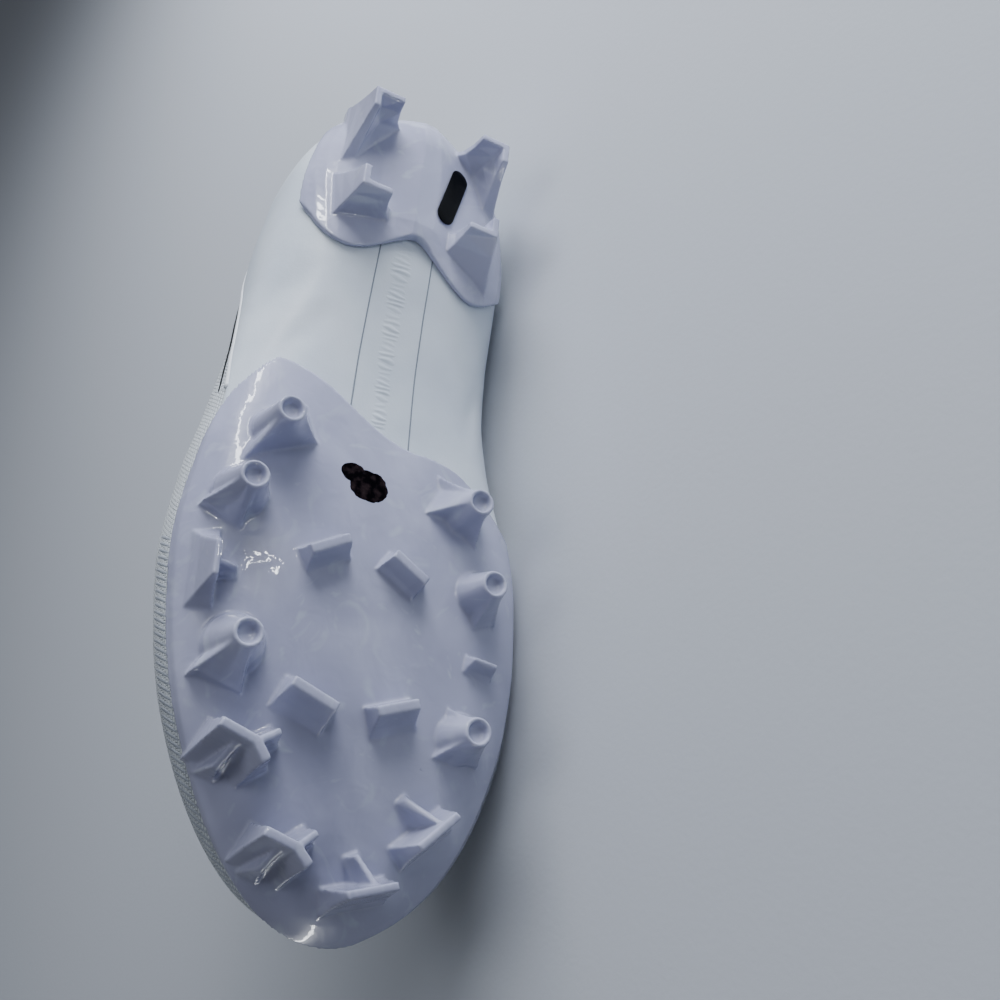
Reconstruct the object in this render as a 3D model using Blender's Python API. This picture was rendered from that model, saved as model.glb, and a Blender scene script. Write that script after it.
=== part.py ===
"""An American football cleat, left shoe, lying on its medial side.

The shoe is modelled standing: X runs from the heel to the toe, +Y is the lateral side, and Z is
the height above the plane of the stud tips. An empty then lays the whole shoe on its side.
All sizes below are in millimetres and are turned to metres when a mesh is made.
"""

import math
from collections import namedtuple
from functools import lru_cache

import bmesh
import bpy
import numpy as np
from mathutils import Euler, Matrix, Vector

MM = 0.001

# Driving sizes
LENGTH = 291.5
WALL = 2.2
COLLAR_PADDING = 3.4
WRAP_STEP = 0.8
SEAT_GAP = 0.3
PLATE_THICK = 1.8
INSOLE_THICK = 4.2
TONGUE_THICK = 4.0
LACE_WIDTH = 5.0
LACE_THICK = 1.3
EYESTAY_THICK = 1.0

# How the shoe lies on its medial side: on the rim of its forefoot plate and on the upper at heel
# and collar, its toe to the left of someone who faces the sole
REST_TURN = (103.2259, -4.2937, 180.0)
REST_SHIFT = (144.665, -53.890, 47.548)

# The last, a row for each section: height of the underside, then the widest point of each side
# and how flat the bottom runs before it turns up
Section = namedtuple("Section", "x under_z lat_y lat_z med_y med_z flat")
SECTIONS = [
    Section(0.0, 47.0, 0.0, 47.0, 0.0, 47.0, 0.60),
    Section(1.5, 34.0, 12.4, 47.0, -10.6, 47.0, 0.62),
    Section(4.0, 27.0, 20.6, 48.0, -17.6, 46.0, 0.66),
    Section(10.0, 19.6, 31.0, 50.0, -26.6, 45.0, 0.74),
    Section(20.0, 16.6, 38.8, 52.0, -33.8, 44.0, 0.82),
    Section(38.0, 16.0, 44.6, 53.0, -39.4, 43.0, 0.86),
    Section(63.0, 16.4, 47.4, 52.0, -42.0, 42.0, 0.80),
    Section(91.0, 18.8, 48.8, 48.0, -41.6, 42.0, 0.75),
    Section(112.0, 20.0, 50.2, 43.0, -42.0, 41.0, 0.73),
    Section(136.0, 18.8, 53.4, 39.5, -45.0, 38.0, 0.77),
    Section(160.0, 16.0, 57.2, 37.5, -50.6, 32.5, 0.82),
    Section(184.0, 14.7, 58.6, 37.0, -54.6, 29.0, 0.85),
    Section(208.0, 14.5, 55.6, 37.0, -55.8, 28.5, 0.85),
    Section(227.0, 15.1, 50.8, 37.0, -54.6, 29.0, 0.84),
    Section(249.0, 17.0, 41.8, 37.0, -49.6, 30.0, 0.81),
    Section(268.0, 20.0, 30.4, 36.5, -41.2, 31.5, 0.77),
    Section(281.0, 23.8, 18.4, 36.0, -30.2, 33.0, 0.71),
    Section(288.0, 28.0, 7.0, 35.0, -18.6, 34.0, 0.64),
    Section(291.5, 34.0, -6.0, 34.0, -6.0, 34.0, 0.60),
]

# The top line: one ridge point where the upper is closed, two edges at the collar and throat.
# lean is the angle above level at which the wall reaches its edge.
Edge = namedtuple("Edge", "x lat_y lat_z med_y med_z lean")
TOP_EDGE = [
    Edge(0.0, 0.0, 47.0, 0.0, 47.0, 0.0),
    Edge(1.5, 0.0, 60.0, 0.0, 60.0, 0.0),
    Edge(4.0, 0.0, 77.0, 0.0, 77.0, 0.0),
    Edge(7.0, 0.0, 89.0, 0.0, 89.0, 20.0),
    Edge(10.0, 11.5, 90.0, -11.5, 90.0, 60.0),
    Edge(14.0, 17.0, 89.0, -17.0, 89.0, 74.0),
    Edge(20.0, 21.8, 86.6, -21.8, 86.6, 82.0),
    Edge(38.0, 28.4, 79.0, -28.4, 80.0, 86.0),
    Edge(63.0, 31.0, 76.5, -31.0, 78.5, 86.0),
    Edge(91.0, 29.5, 87.0, -29.5, 88.5, 76.0),
    Edge(112.0, 23.8, 100.0, -24.6, 100.5, 58.0),
    Edge(118.0, 21.4, 101.6, -22.4, 102.0, 50.0),
    Edge(136.0, 17.6, 97.0, -19.0, 97.4, 40.0),
    Edge(160.0, 14.4, 87.4, -16.2, 87.8, 34.0),
    Edge(184.0, 11.2, 77.4, -13.6, 77.6, 28.0),
    Edge(195.0, 8.8, 72.8, -11.6, 72.8, 22.0),
    Edge(201.0, 6.2, 70.6, -9.4, 70.6, 16.0),
    Edge(205.0, 3.2, 69.2, -6.6, 69.2, 9.0),
    Edge(208.0, -1.8, 68.2, -1.8, 68.2, 0.0),
    Edge(227.0, -2.8, 63.2, -2.8, 63.2, 0.0),
    Edge(249.0, -3.8, 57.8, -3.8, 57.8, 0.0),
    Edge(268.0, -4.8, 52.4, -4.8, 52.4, 0.0),
    Edge(281.0, -5.6, 46.2, -5.6, 46.2, 0.0),
    Edge(288.0, -6.0, 40.4, -6.0, 40.4, 0.0),
    Edge(291.5, -6.0, 34.0, -6.0, 34.0, 0.0),
]
THROAT_FRONT = 208.0
COLLAR_BACK = 7.0

# Where the smooth wrap of heel and arch ends on each side, as a share of the way from the
# underside's middle to the top edge
Wrap = namedtuple("Wrap", "x lat med")
WRAP_LINE = [
    Wrap(0.0, 0.80, 0.80),
    Wrap(20.0, 0.78, 0.78),
    Wrap(60.0, 0.60, 0.72),
    Wrap(90.0, 0.48, 0.66),
    Wrap(115.0, 0.43, 0.58),
    Wrap(136.0, 0.36, 0.46),
    Wrap(150.0, 0.34, 0.36),
    Wrap(291.5, 0.34, 0.34),
]

STATIONS = [
    0.0, 1.5, 4.0, 7.0, 10.0, 14.0, 20.0, 28.0, 38.0, 50.0, 63.0, 77.0, 91.0, 102.0, 112.0, 118.0,
    126.0, 136.0, 148.0, 160.0, 172.0, 184.0, 195.0, 201.0, 205.0, 208.0, 217.0, 227.0, 238.0,
    249.0, 259.0, 268.0, 275.0, 281.0, 285.5, 289.0, 291.5,
]


def along(x):
    """Position along the shoe as an angle, so that heel and toe close in a round."""
    return math.acos(max(-1.0, min(1.0, 1.0 - 2.0 * x / LENGTH)))


class Curve:
    """A smooth curve through a table's column, with no overshoot between its rows."""

    def __init__(self, rows, column):
        self.at = np.array([along(row.x) for row in rows])
        self.value = np.array([getattr(row, column) for row in rows])
        step = np.diff(self.at)
        rise = np.diff(self.value) / step
        slope = np.zeros(len(rows))
        slope[0], slope[-1] = rise[0], rise[-1]
        for i in range(1, len(rows) - 1):
            if rise[i - 1] * rise[i] > 0:
                before, after = 2 * step[i] + step[i - 1], step[i] + 2 * step[i - 1]
                slope[i] = (before + after) / (before / rise[i - 1] + after / rise[i])
        self.slope = slope

    def __call__(self, x):
        t = along(x)
        i = int(np.clip(np.searchsorted(self.at, t) - 1, 0, len(self.at) - 2))
        width = self.at[i + 1] - self.at[i]
        s = min(1.0, max(0.0, (t - self.at[i]) / width))
        a, b = self.value[i], self.value[i + 1]
        rise_a, rise_b = self.slope[i] * width, self.slope[i + 1] * width
        cubic = (2 * s**3 - 3 * s**2 + 1) * a + (s**3 - 2 * s**2 + s) * rise_a
        return float(cubic + (3 * s**2 - 2 * s**3) * b + (s**3 - s**2) * rise_b)


LAST = {name: Curve(SECTIONS, name) for name in Section._fields[1:]}
TOP = {name: Curve(TOP_EDGE, name) for name in Edge._fields[1:]}
WRAP = {name: Curve(WRAP_LINE, name) for name in Wrap._fields[1:]}

RISE_HANDLE = 0.72
SIDE_HANDLE = 0.55
CROWN_HANDLE = 0.60
NORMAL_STEP = 0.002
CREASE_ANGLE = math.radians(35)


def bezier(points, t):
    a, b, c, d = points
    return a * (1 - t) ** 3 + 3 * b * t * (1 - t) ** 2 + 3 * c * t**2 * (1 - t) + d * t**3


def closed_above(x):
    return x >= THROAT_FRONT or x <= COLLAR_BACK


def top_edge(x, side):
    """The edge of the opening on one side, or the ridge where both sides meet."""
    if closed_above(x):
        return Vector((x, (TOP["lat_y"](x) + TOP["med_y"](x)) / 2, TOP["lat_z"](x)))
    return Vector((x, TOP[side + "_y"](x), TOP[side + "_z"](x)))


@lru_cache(maxsize=None)
def skin(x, v):
    """The point of the last at x and share v: 0 is the middle of the underside, 0.5 the widest
    point, 1 the top edge; v is positive on the lateral side and negative on the medial."""
    side = "lat" if v >= 0 else "med"
    share = abs(v)
    under = Vector((x, (LAST["lat_y"](x) + LAST["med_y"](x)) / 2, LAST["under_z"](x)))
    wide = Vector((x, LAST[side + "_y"](x), LAST[side + "_z"](x)))
    if share <= 0.5:
        flat = LAST["flat"](x)
        out = Vector((0, wide.y - under.y, 0))
        up = Vector((0, 0, wide.z - under.z))
        return bezier((under, under + flat * out, wide - RISE_HANDLE * up, wide), share * 2)
    edge = top_edge(x, side)
    lean = math.radians(TOP["lean"](x))
    rise, run = edge.z - wide.z, edge.y - wide.y
    reach = CROWN_HANDLE * (abs(run) * math.cos(lean) + rise * math.sin(lean))
    inward = math.copysign(1.0, -v)
    arrive = Vector((0, inward * math.cos(lean), math.sin(lean))) * reach
    rising = Vector((0, 0, SIDE_HANDLE * rise))
    return bezier((wide, wide + rising, edge - arrive, edge), share * 2 - 1)


def side_normal(x, v):
    """The last's normal worked out on one side of it."""
    t = along(x)
    ahead = LENGTH * (1 - math.cos(min(t + NORMAL_STEP, math.pi))) / 2
    behind = LENGTH * (1 - math.cos(t - NORMAL_STEP)) / 2
    low, high = max(v - NORMAL_STEP, -1.0), min(v + NORMAL_STEP, 1.0)
    lengthwise = skin(ahead, v) - skin(behind, v)
    crosswise = skin(x, high) - skin(x, low)
    return crosswise.cross(lengthwise).normalized()


@lru_cache(maxsize=None)
def outward(x, v):
    """The last's normal at that point, pointing out of the shoe."""
    t = along(x)
    if t < NORMAL_STEP:
        return Vector((-1, 0, 0))
    if t > math.pi - NORMAL_STEP:
        return Vector((1, 0, 0))
    if closed_above(x) and abs(v) > 1 - NORMAL_STEP:
        return (side_normal(x, 1.0) + side_normal(x, -1.0)).normalized()
    return side_normal(x, v)


def wrap_step(x, v):
    line = WRAP["lat" if v >= 0 else "med"](x)
    return WRAP_STEP if abs(v) <= line + 1e-6 else 0.0


def outer(x, v, offset=0.0):
    """The upper's outer face with the wrap's step, moved out by offset."""
    return skin(x, v) + outward(x, v) * (wrap_step(x, v) + offset)


COLUMNS_BELOW = (0.0, 0.25, 0.5, 0.72, 0.88, 1.0)
COLUMNS_ABOVE = (0.05, 0.28, 0.5, 0.68, 0.85, 1.0)


def columns(x):
    """The shares at which a section has points, lateral edge first, with a pair at the wrap."""
    shares = []
    for side, sign in (("lat", 1), ("med", -1)):
        line = WRAP[side](x)
        half = [line * c for c in COLUMNS_BELOW]
        half += [line + (1 - line) * c for c in COLUMNS_ABOVE]
        shares.append([sign * v for v in half])
    lateral, medial = shares
    return lateral[::-1] + medial[1:]


def sheet(rows, columns_of_row, place, close=False):
    """A grid of triangles mapped by place(row value, column value).

    Each square is cut along the same diagonal in every sheet, so that nested sheets stay apart.
    """
    count = len(columns_of_row(rows[0])) + (1 if close else 0)
    bm = bmesh.new()
    bmesh.ops.create_grid(bm, x_segments=len(rows) - 1, y_segments=count - 1, size=1)
    bmesh.ops.triangulate(bm, faces=bm.faces, quad_method="FIXED")
    for vert in bm.verts:
        i = round((vert.co.x + 1) / 2 * (len(rows) - 1))
        j = round((vert.co.y + 1) / 2 * (count - 1))
        across = columns_of_row(rows[i])
        vert.co = place(rows[i], across[j % len(across)]) * MM
    return bm


def finish(bm, name, material=None):
    """Welds a bmesh, turns its faces outwards and links it as an object under the shoe."""
    bmesh.ops.remove_doubles(bm, verts=bm.verts, dist=1e-6)
    bmesh.ops.dissolve_degenerate(bm, edges=bm.edges, dist=1e-7)
    bmesh.ops.recalc_face_normals(bm, faces=bm.faces)
    mesh = bpy.data.meshes.new(name)
    bm.to_mesh(mesh)
    bm.free()
    obj = bpy.data.objects.new(name, mesh)
    bpy.context.scene.collection.objects.link(obj)
    if material:
        mesh.materials.append(material)
    return obj


def helper(obj):
    """Marks an object as a cutter or guide, not a piece of the shoe."""
    obj.hide_render = True
    obj.display_type = "WIRE"
    return obj


def boolean(obj, other, operation):
    """Joins, cuts or keeps. Every body here is closed, which the manifold solver needs."""
    modifier = obj.modifiers.new(f"{operation.lower()} {other.name}", "BOOLEAN")
    modifier.operation = operation
    modifier.solver = "MANIFOLD"
    modifier.object = other


def paint(name, colour, roughness, metallic=0.0):
    material = bpy.data.materials.new(name)
    material.use_nodes = True
    shader = material.node_tree.nodes["Principled BSDF"]
    shader.inputs["Base Color"].default_value = (*colour, 1.0)
    shader.inputs["Roughness"].default_value = roughness
    shader.inputs["Metallic"].default_value = metallic
    return material


def form(name, offset):
    """The closed body of the shoe's own shape, grown by offset(x, v)."""
    bm = sheet(STATIONS, columns, lambda x, v: outer(x, v, offset(x, v)), close=True)
    return finish(bm, name)


# The upper
FOREFOOT_WINDOW = (148.0, 259.0)
HEEL_WINDOW = (14.0, 50.0)
WINDOW_BELOW = 8.0
WINDOW_HALF = 0.30
PAD_SHARE = 0.80
PAD_FRONT = 126.0
PAD_FADE = 20.0


def padding(x, v):
    """How thick the wall is: the collar's top band is padded."""
    band = max(0.0, min(1.0, (abs(v) - PAD_SHARE) / (1 - PAD_SHARE)))
    back = max(0.0, min(1.0, (PAD_FRONT - x) / PAD_FADE))
    return WALL + COLLAR_PADDING * math.sin(band * math.pi / 2) * back


def make_upper(material):
    """One hollow wall, open at collar and throat, and underneath where the two plates close it."""
    bm = sheet(STATIONS, columns, outer)
    bmesh.ops.remove_doubles(bm, verts=bm.verts, dist=1e-6)
    under_plates = []
    for face in bm.faces:
        centre = face.calc_center_median() / MM
        middle = (LAST["lat_y"](centre.x) + LAST["med_y"](centre.x)) / 2
        width = LAST["lat_y"](centre.x) - LAST["med_y"](centre.x)
        low = centre.z < LAST["lat_z"](centre.x) - WINDOW_BELOW
        inside = abs(centre.y - middle) < WINDOW_HALF * width
        in_window = any(a < centre.x < b for a, b in (FOREFOOT_WINDOW, HEEL_WINDOW))
        if low and inside and in_window:
            under_plates.append(face)
    bmesh.ops.delete(bm, geom=under_plates, context="FACES")
    obj = finish(bm, "upper", material)
    weights = obj.vertex_groups.new(name="wall")
    thickest = WALL + COLLAR_PADDING
    for vert in obj.data.vertices:
        x = vert.co.x / MM
        weights.add([vert.index], wall_at(x, vert.co / MM) / thickest, "REPLACE")
    wall = obj.modifiers.new("wall", "SOLIDIFY")
    wall.thickness = thickest * MM
    wall.offset = -1
    wall.vertex_group = weights.name
    return obj


def wall_at(x, point):
    """The wall's thickness at a point of the outer face."""
    side = "lat" if point.y >= (TOP["lat_y"](x) + TOP["med_y"](x)) / 2 else "med"
    edge_z = TOP[side + "_z"](x)
    wide_z = LAST[side + "_z"](x)
    share = 0.5 + 0.5 * max(0.0, min(1.0, (point.z - wide_z) / max(edge_z - wide_z, 1.0)))
    return padding(x, share)


# The two sole plates
PlateEdge = namedtuple("PlateEdge", "x z")
SIDE_REACH = 90.0
FOREFOOT_RIM = [
    PlateEdge(112, 20.0), PlateEdge(124, 23.5), PlateEdge(136, 26.5), PlateEdge(152, 28.0),
    PlateEdge(200, 28.0), PlateEdge(250, 28.0), PlateEdge(280, 29.0), PlateEdge(310, 30.0),
]
FOREFOOT_RIM_DROP = 8.0
HEEL_RIM_DROP = 4.0
HEEL_RIM = [
    PlateEdge(-10, 30.0), PlateEdge(8, 28.5), PlateEdge(30, 25.5), PlateEdge(50, 25.0),
    PlateEdge(64, 24.0), PlateEdge(90, 22.0),
]
PlanPoint = namedtuple("PlanPoint", "x y")
FOREFOOT_PLAN = [
    PlanPoint(152, 70), PlanPoint(139, 54), PlanPoint(129, 48.5), PlanPoint(123, 45),
    PlanPoint(120.4, 40), PlanPoint(121.5, 33), PlanPoint(126, 22), PlanPoint(133, 12),
    PlanPoint(139.5, 2), PlanPoint(143, -8), PlanPoint(142.6, -18), PlanPoint(144.5, -27),
    PlanPoint(150, -35), PlanPoint(158, -44), PlanPoint(166, -54), PlanPoint(170, -70),
    PlanPoint(310, -70), PlanPoint(310, 70),
]
HEEL_PLAN = [
    PlanPoint(-12, 70), PlanPoint(-12, -70), PlanPoint(50, -70), PlanPoint(58, -50),
    PlanPoint(66, -39), PlanPoint(73, -32), PlanPoint(76, -26), PlanPoint(75, -20),
    PlanPoint(67, -9), PlanPoint(61, -2.5), PlanPoint(60.5, 2), PlanPoint(66, 10),
    PlanPoint(71, 18), PlanPoint(72, 25), PlanPoint(68, 33), PlanPoint(59, 39), PlanPoint(50, 46),
    PlanPoint(42, 70),
]


def prism(name, outline, direction, low, high, drop=0.0):
    """A plane outline extruded from low to high along Z, or along Y for a side outline, whose
    height is that in the middle and which may drop on its way to the lateral side."""
    bm = bmesh.new()
    if direction == "Z":
        corners = [Vector((p.x, p.y, low)) for p in outline]
        push = Vector((0, 0, high - low))
    else:
        corners = [Vector((p.x, low, p.z + drop / 2)) for p in outline]
        push = Vector((0, high - low, -drop))
    face = bm.faces.new([bm.verts.new(c * MM) for c in corners])
    raised = bmesh.ops.extrude_face_region(bm, geom=[face])
    tops = [g for g in raised["geom"] if isinstance(g, bmesh.types.BMVert)]
    bmesh.ops.translate(bm, verts=tops, vec=push * MM)
    return helper(finish(bm, name))


def under_z(x, y, offset):
    """Height of the sole face, moved out by offset, above the plan point x, y."""
    low, high = -0.5, 0.5
    for _ in range(30):
        v = (low + high) / 2
        if outer(x, v, offset).y < y:
            low = v
        else:
            high = v
    return outer(x, (low + high) / 2, offset).z


def loft(name, rings):
    """A closed body through rings of equal length, capped at both ends."""
    bm = bmesh.new()
    loops = []
    for ring in rings:
        verts = [bm.verts.new(Vector(place) * MM) for place in ring]
        loops.append([bm.edges.new(pair) for pair in zip(verts, verts[1:] + verts[:1])])
    for one, two in zip(loops, loops[1:]):
        bmesh.ops.bridge_loops(bm, edges=one + two)
    for end in (loops[0], loops[-1]):
        bmesh.ops.edgeloop_fill(bm, edges=end)
    return finish(bm, name)


ROOT_DEPTH = 1.0
ROOT_LIMIT = 24.0
ROOT_TOP = 28.0


def rooted(outline):
    """The two rings of a stud's root: a level one inside the shoe, one just under the face."""
    depth = SEAT_GAP + PLATE_THICK - ROOT_DEPTH
    face = [(x, y, min(under_z(x, y, depth), ROOT_LIMIT)) for x, y in outline]
    return [[(x, y, ROOT_TOP) for x, y in outline], face]


# Round studs with a cupped tip
CONE_SIDES = 16
TIP_RADIUS = 4.4
RIM_RADIUS = 3.8
CUP_RADIUS = 2.6
CUP_FLOOR = 1.4
CUP_DEPTH = 1.8
CONE_LEVELS = ((0.78, 0.88), (0.34, 0.46))
TIP_BEVEL = 0.8
Cone = namedtuple("Cone", "name x y root")
CONES = [
    Cone("lateral_rear", 149.0, 35.3, 7.8),
    Cone("lateral_middle", 173.0, 42.2, 8.8),
    Cone("lateral_front", 218.5, 35.8, 9.4),
    Cone("medial_rear", 160.8, -29.2, 7.4),
    Cone("medial_middle", 186.8, -36.4, 8.0),
    Cone("medial_front", 232.8, -35.0, 8.2),
]
# Fins run straight down from tip to foot: angle from the toe direction towards lateral, and reach
FIN_FLANK = 1.6
Fin = namedtuple("Fin", "cone angle reach")
FINS = [
    Fin("lateral_rear", 33, 15.8), Fin("lateral_rear", -84, 13.9), Fin("lateral_rear", -145, 14.6),
    Fin("lateral_middle", 62, 12.6), Fin("lateral_middle", -7, 12.4),
    Fin("lateral_front", 47, 15.0), Fin("lateral_front", -17, 14.0),
    Fin("medial_rear", 141, 16.2), Fin("medial_rear", 77, 12.6), Fin("medial_rear", -30, 10.0),
    Fin("medial_middle", 2, 11.6), Fin("medial_middle", -40, 12.4),
    Fin("medial_front", 48, 10.7), Fin("medial_front", -45, 11.0), Fin("medial_front", 152, 9.6),
]


def foot_radius(cone, angle):
    """Radius of a round stud's foot at an angle. Flat faces join the feet of neighbouring fins."""
    fins = sorted((math.radians(fin.angle) % (2 * math.pi), fin.reach)
                  for fin in FINS if fin.cone == cone.name)
    radius = cone.root
    for (start, reach), (end, next_reach) in zip(fins, fins[1:] + fins[:1]):
        gap = (end - start) % (2 * math.pi)
        past = (angle - start) % (2 * math.pi)
        if past <= gap < math.pi:
            reach_here = reach * math.sin(gap - past) + next_reach * math.sin(past)
            chord = reach * next_reach * math.sin(gap) / reach_here
            radius = max(radius, chord)
        for turn, length in ((past, reach), (gap - past, next_reach)):
            if math.cos(turn) > 0:
                flank = length * (1 - abs(math.sin(turn)) * FIN_FLANK)
                radius = max(radius, flank)
    return radius


def stud_angles(cone):
    """Even angles, with the nearest one moved onto each fin."""
    angles = [2 * math.pi * k / CONE_SIDES for k in range(CONE_SIDES)]
    for fin in FINS:
        if fin.cone == cone.name:
            turn = math.radians(fin.angle) % (2 * math.pi)
            nearest = round(turn * CONE_SIDES / (2 * math.pi)) % CONE_SIDES
            angles[nearest] = turn
    return angles


def cone_stud(cone):
    """A round stud that flares to a finned foot and has a cup in its tip."""
    angles = stud_angles(cone)

    def ring(radius_at, height_at):
        places = []
        for a in angles:
            radius = radius_at(a)
            x, y = cone.x + radius * math.cos(a), cone.y + radius * math.sin(a)
            places.append((x, y, height_at(x, y)))
        return places

    foot = [(x, y) for x, y, _ in ring(lambda a: foot_radius(cone, a), lambda x, y: 0.0)]
    rings = rooted(foot)
    height = under_z(cone.x, cone.y, SEAT_GAP + PLATE_THICK)
    for spread, rise in CONE_LEVELS:
        rings.append(ring(lambda a: TIP_RADIUS + (foot_radius(cone, a) - TIP_RADIUS) * spread,
                          lambda x, y: height * rise))
    for radius, z in ((TIP_RADIUS, TIP_BEVEL), (RIM_RADIUS, 0.0), (CUP_RADIUS, 0.0),
                      (CUP_FLOOR, CUP_DEPTH)):
        rings.append(ring(lambda a: radius, lambda x, y: z))
    return helper(loft("stud_" + cone.name, rings))


# Blades: the ends of the crest and their heights, the crest's width, how far the left and right
# face run out on the way down, seen from the first end to the second, and how far the ends do
Blade = namedtuple("Blade", "name x1 y1 x2 y2 crest1 crest2 width left right lengthen")
BLADES = [
    Blade("centre_rear_lateral", 182.4, 10.2, 189.0, 21.4, 4.2, 4.2, 3.0, 1.6, 4.2, 1.0),
    Blade("centre_rear_medial", 183.4, -4.4, 190.0, -15.6, 4.2, 4.2, 3.0, 4.4, 1.6, 1.0),
    Blade("centre_front_lateral", 227.6, 20.4, 232.8, 6.6, 4.2, 4.2, 3.0, 6.6, 1.6, 1.0),
    Blade("centre_front_medial", 231.6, -5.2, 227.0, -17.6, 4.2, 4.2, 3.0, 6.2, 1.6, 1.0),
    Blade("lateral_edge", 193.0, 47.4, 203.0, 46.6, 5.0, 5.0, 1.6, 5.2, 1.6, 8.0),
    Blade("lateral_edge_fin", 198.4, 46.6, 197.4, 40.0, 6.0, 11.4, 1.4, 3.0, 1.6, 1.0),
    Blade("lateral_toe_wall", 242.6, 38.4, 246.0, 28.2, 1.0, 1.0, 2.6, 6.4, 2.2, 1.2),
    Blade("lateral_toe_turn", 246.0, 28.2, 250.6, 24.6, 1.0, 1.4, 2.6, 5.6, 2.2, 3.0),
    Blade("lateral_toe_fin", 245.8, 27.6, 242.0, 21.6, 1.4, 3.4, 1.8, 3.0, 2.0, 1.4),
    Blade("lateral_toe_strut", 247.0, 32.6, 253.0, 35.4, 4.4, 12.0, 1.8, 2.2, 2.6, 1.6),
    Blade("front_lateral_wall", 267.6, 21.8, 270.6, 12.6, 2.4, 2.4, 2.6, 6.0, 2.2, 1.2),
    Blade("front_lateral_turn", 270.6, 12.6, 274.6, 8.6, 2.4, 2.8, 2.6, 5.0, 2.2, 2.6),
    Blade("front_lateral_fin", 270.0, 12.0, 266.0, 7.0, 2.8, 4.8, 1.8, 3.0, 2.0, 1.4),
    Blade("front_lateral_strut", 271.4, 16.4, 276.6, 18.6, 5.6, 13.0, 1.8, 2.2, 2.6, 1.6),
    Blade("toe_wall", 280.6, -3.2, 276.6, -17.4, 4.0, 4.0, 2.2, 4.0, 2.0, 2.2),
    Blade("toe_fin", 277.8, -12.0, 269.4, -7.6, 5.0, 13.0, 1.4, 1.8, 3.0, 1.2),
    Blade("medial_toe_wall", 266.6, -21.4, 256.2, -32.4, 2.4, 2.4, 2.2, 4.4, 2.0, 2.6),
    Blade("medial_toe_fin", 259.4, -28.2, 252.6, -19.4, 3.4, 12.0, 1.4, 1.8, 3.0, 1.2),
    Blade("medial_edge_fin", 209.0, -35.4, 210.0, -43.5, 8.0, 8.0, 1.2, 4.4, 1.8, 1.4),
]
WAIST_RISE = 0.60
WAIST_SPREAD = 0.48


def blade_outline(blade, share):
    """The four corners at a share of the way from crest to foot."""
    start, end = Vector((blade.x1, blade.y1)), Vector((blade.x2, blade.y2))
    ahead = (end - start).normalized()
    left = Vector((-ahead.y, ahead.x))
    grow = ahead * blade.lengthen * share
    out_left = left * (blade.width / 2 + blade.left * share)
    out_right = left * (blade.width / 2 + blade.right * share)
    return [tuple(start - grow - out_right), tuple(end + grow - out_right),
            tuple(end + grow + out_left), tuple(start - grow + out_left)]


def blade_stud(blade):
    """A drafted bar: its crest is narrow and its faces run out to the plate."""
    rings = rooted(blade_outline(blade, 1.0))
    crests = (blade.crest1, blade.crest2, blade.crest2, blade.crest1)
    for rise, share in ((WAIST_RISE, WAIST_SPREAD), (0.0, 0.0)):
        corners = zip(blade_outline(blade, share), crests, rings[1][:4])
        rings.append([(x, y, top + (foot[2] - top) * rise) for (x, y), top, foot in corners])
    return helper(loft("blade_" + blade.name, rings))


# Heel blades: the corner of the crest, which way its arms run, then the plan points of its foot
Chevron = namedtuple("Chevron", "name x y ahead across foot")
CHEVRONS = [
    Chevron("lateral_rear", 13.4, 26.8, 1, -1,
            ((5, 30), (40, 32), (37, 27), (24, 17.5), (14, 9), (7, 8.5))),
    Chevron("medial_rear", 13.4, -26.8, 1, 1,
            ((5, -30), (38, -32), (35, -26), (22, -18), (14, -8.5), (8, -7.5))),
    Chevron("lateral_front", 57.6, 26.2, -1, -1,
            ((61.5, 31), (42, 33.5), (42, 26), (48, 16), (52.5, 8.5), (59, 9))),
    Chevron("medial_front", 57.6, -25.6, -1, 1,
            ((73, -32), (44, -32), (43, -24), (47, -16.5), (52, -9.5), (63, -10))),
]
ARM_AHEAD = 8.5
ARM_ACROSS = 11.0
ARM_WIDTH = 2.4
# A level of a heel blade: its height as a share of the whole, then how far each of the six
# corners has moved from crest to foot; the ends of the arms scoop in, the faces run straight
Level = namedtuple("Level", "rise corner ahead_out ahead_in inner across_in across_out")
CHEVRON_LEVELS = [
    Level(0.90, 0.84, 0.80, 0.80, 0.78, 0.62, 0.62),
    Level(0.66, 0.58, 0.52, 0.50, 0.46, 0.26, 0.26),
    Level(0.33, 0.27, 0.22, 0.20, 0.18, 0.08, 0.08),
    Level(0.0, 0.0, 0.0, 0.0, 0.0, 0.0, 0.0),
]


def chevron_crest(chevron):
    """The six corners of the L-shaped crest, outer corner first."""
    ends = [(0, 0), (ARM_AHEAD, 0), (ARM_AHEAD, ARM_WIDTH), (ARM_WIDTH, ARM_WIDTH),
            (ARM_WIDTH, ARM_ACROSS), (0, ARM_ACROSS)]
    return [(chevron.x + chevron.ahead * a, chevron.y + chevron.across * b) for a, b in ends]


def chevron_outline(chevron, level):
    """The six corners at a level, between the crest and the foot."""
    pairs = zip(chevron_crest(chevron), chevron.foot, level[1:])
    return [(a[0] + (b[0] - a[0]) * share, a[1] + (b[1] - a[1]) * share) for a, b, share in pairs]


def chevron_stud(chevron):
    """An L-shaped heel blade whose faces run down to the plate."""
    rings = rooted(chevron.foot)
    heights = [z for _, _, z in rings[1]]
    for level in CHEVRON_LEVELS:
        corners = zip(chevron_outline(chevron, level), heights)
        rings.append([(x, y, z * level.rise) for (x, y), z in corners])
    return helper(loft("chevron_" + chevron.name, rings))


KEEL_HEIGHT = 4.0
KEEL_HALF = 15.0
KEEL_FADE = (56.0, 70.0)


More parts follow.
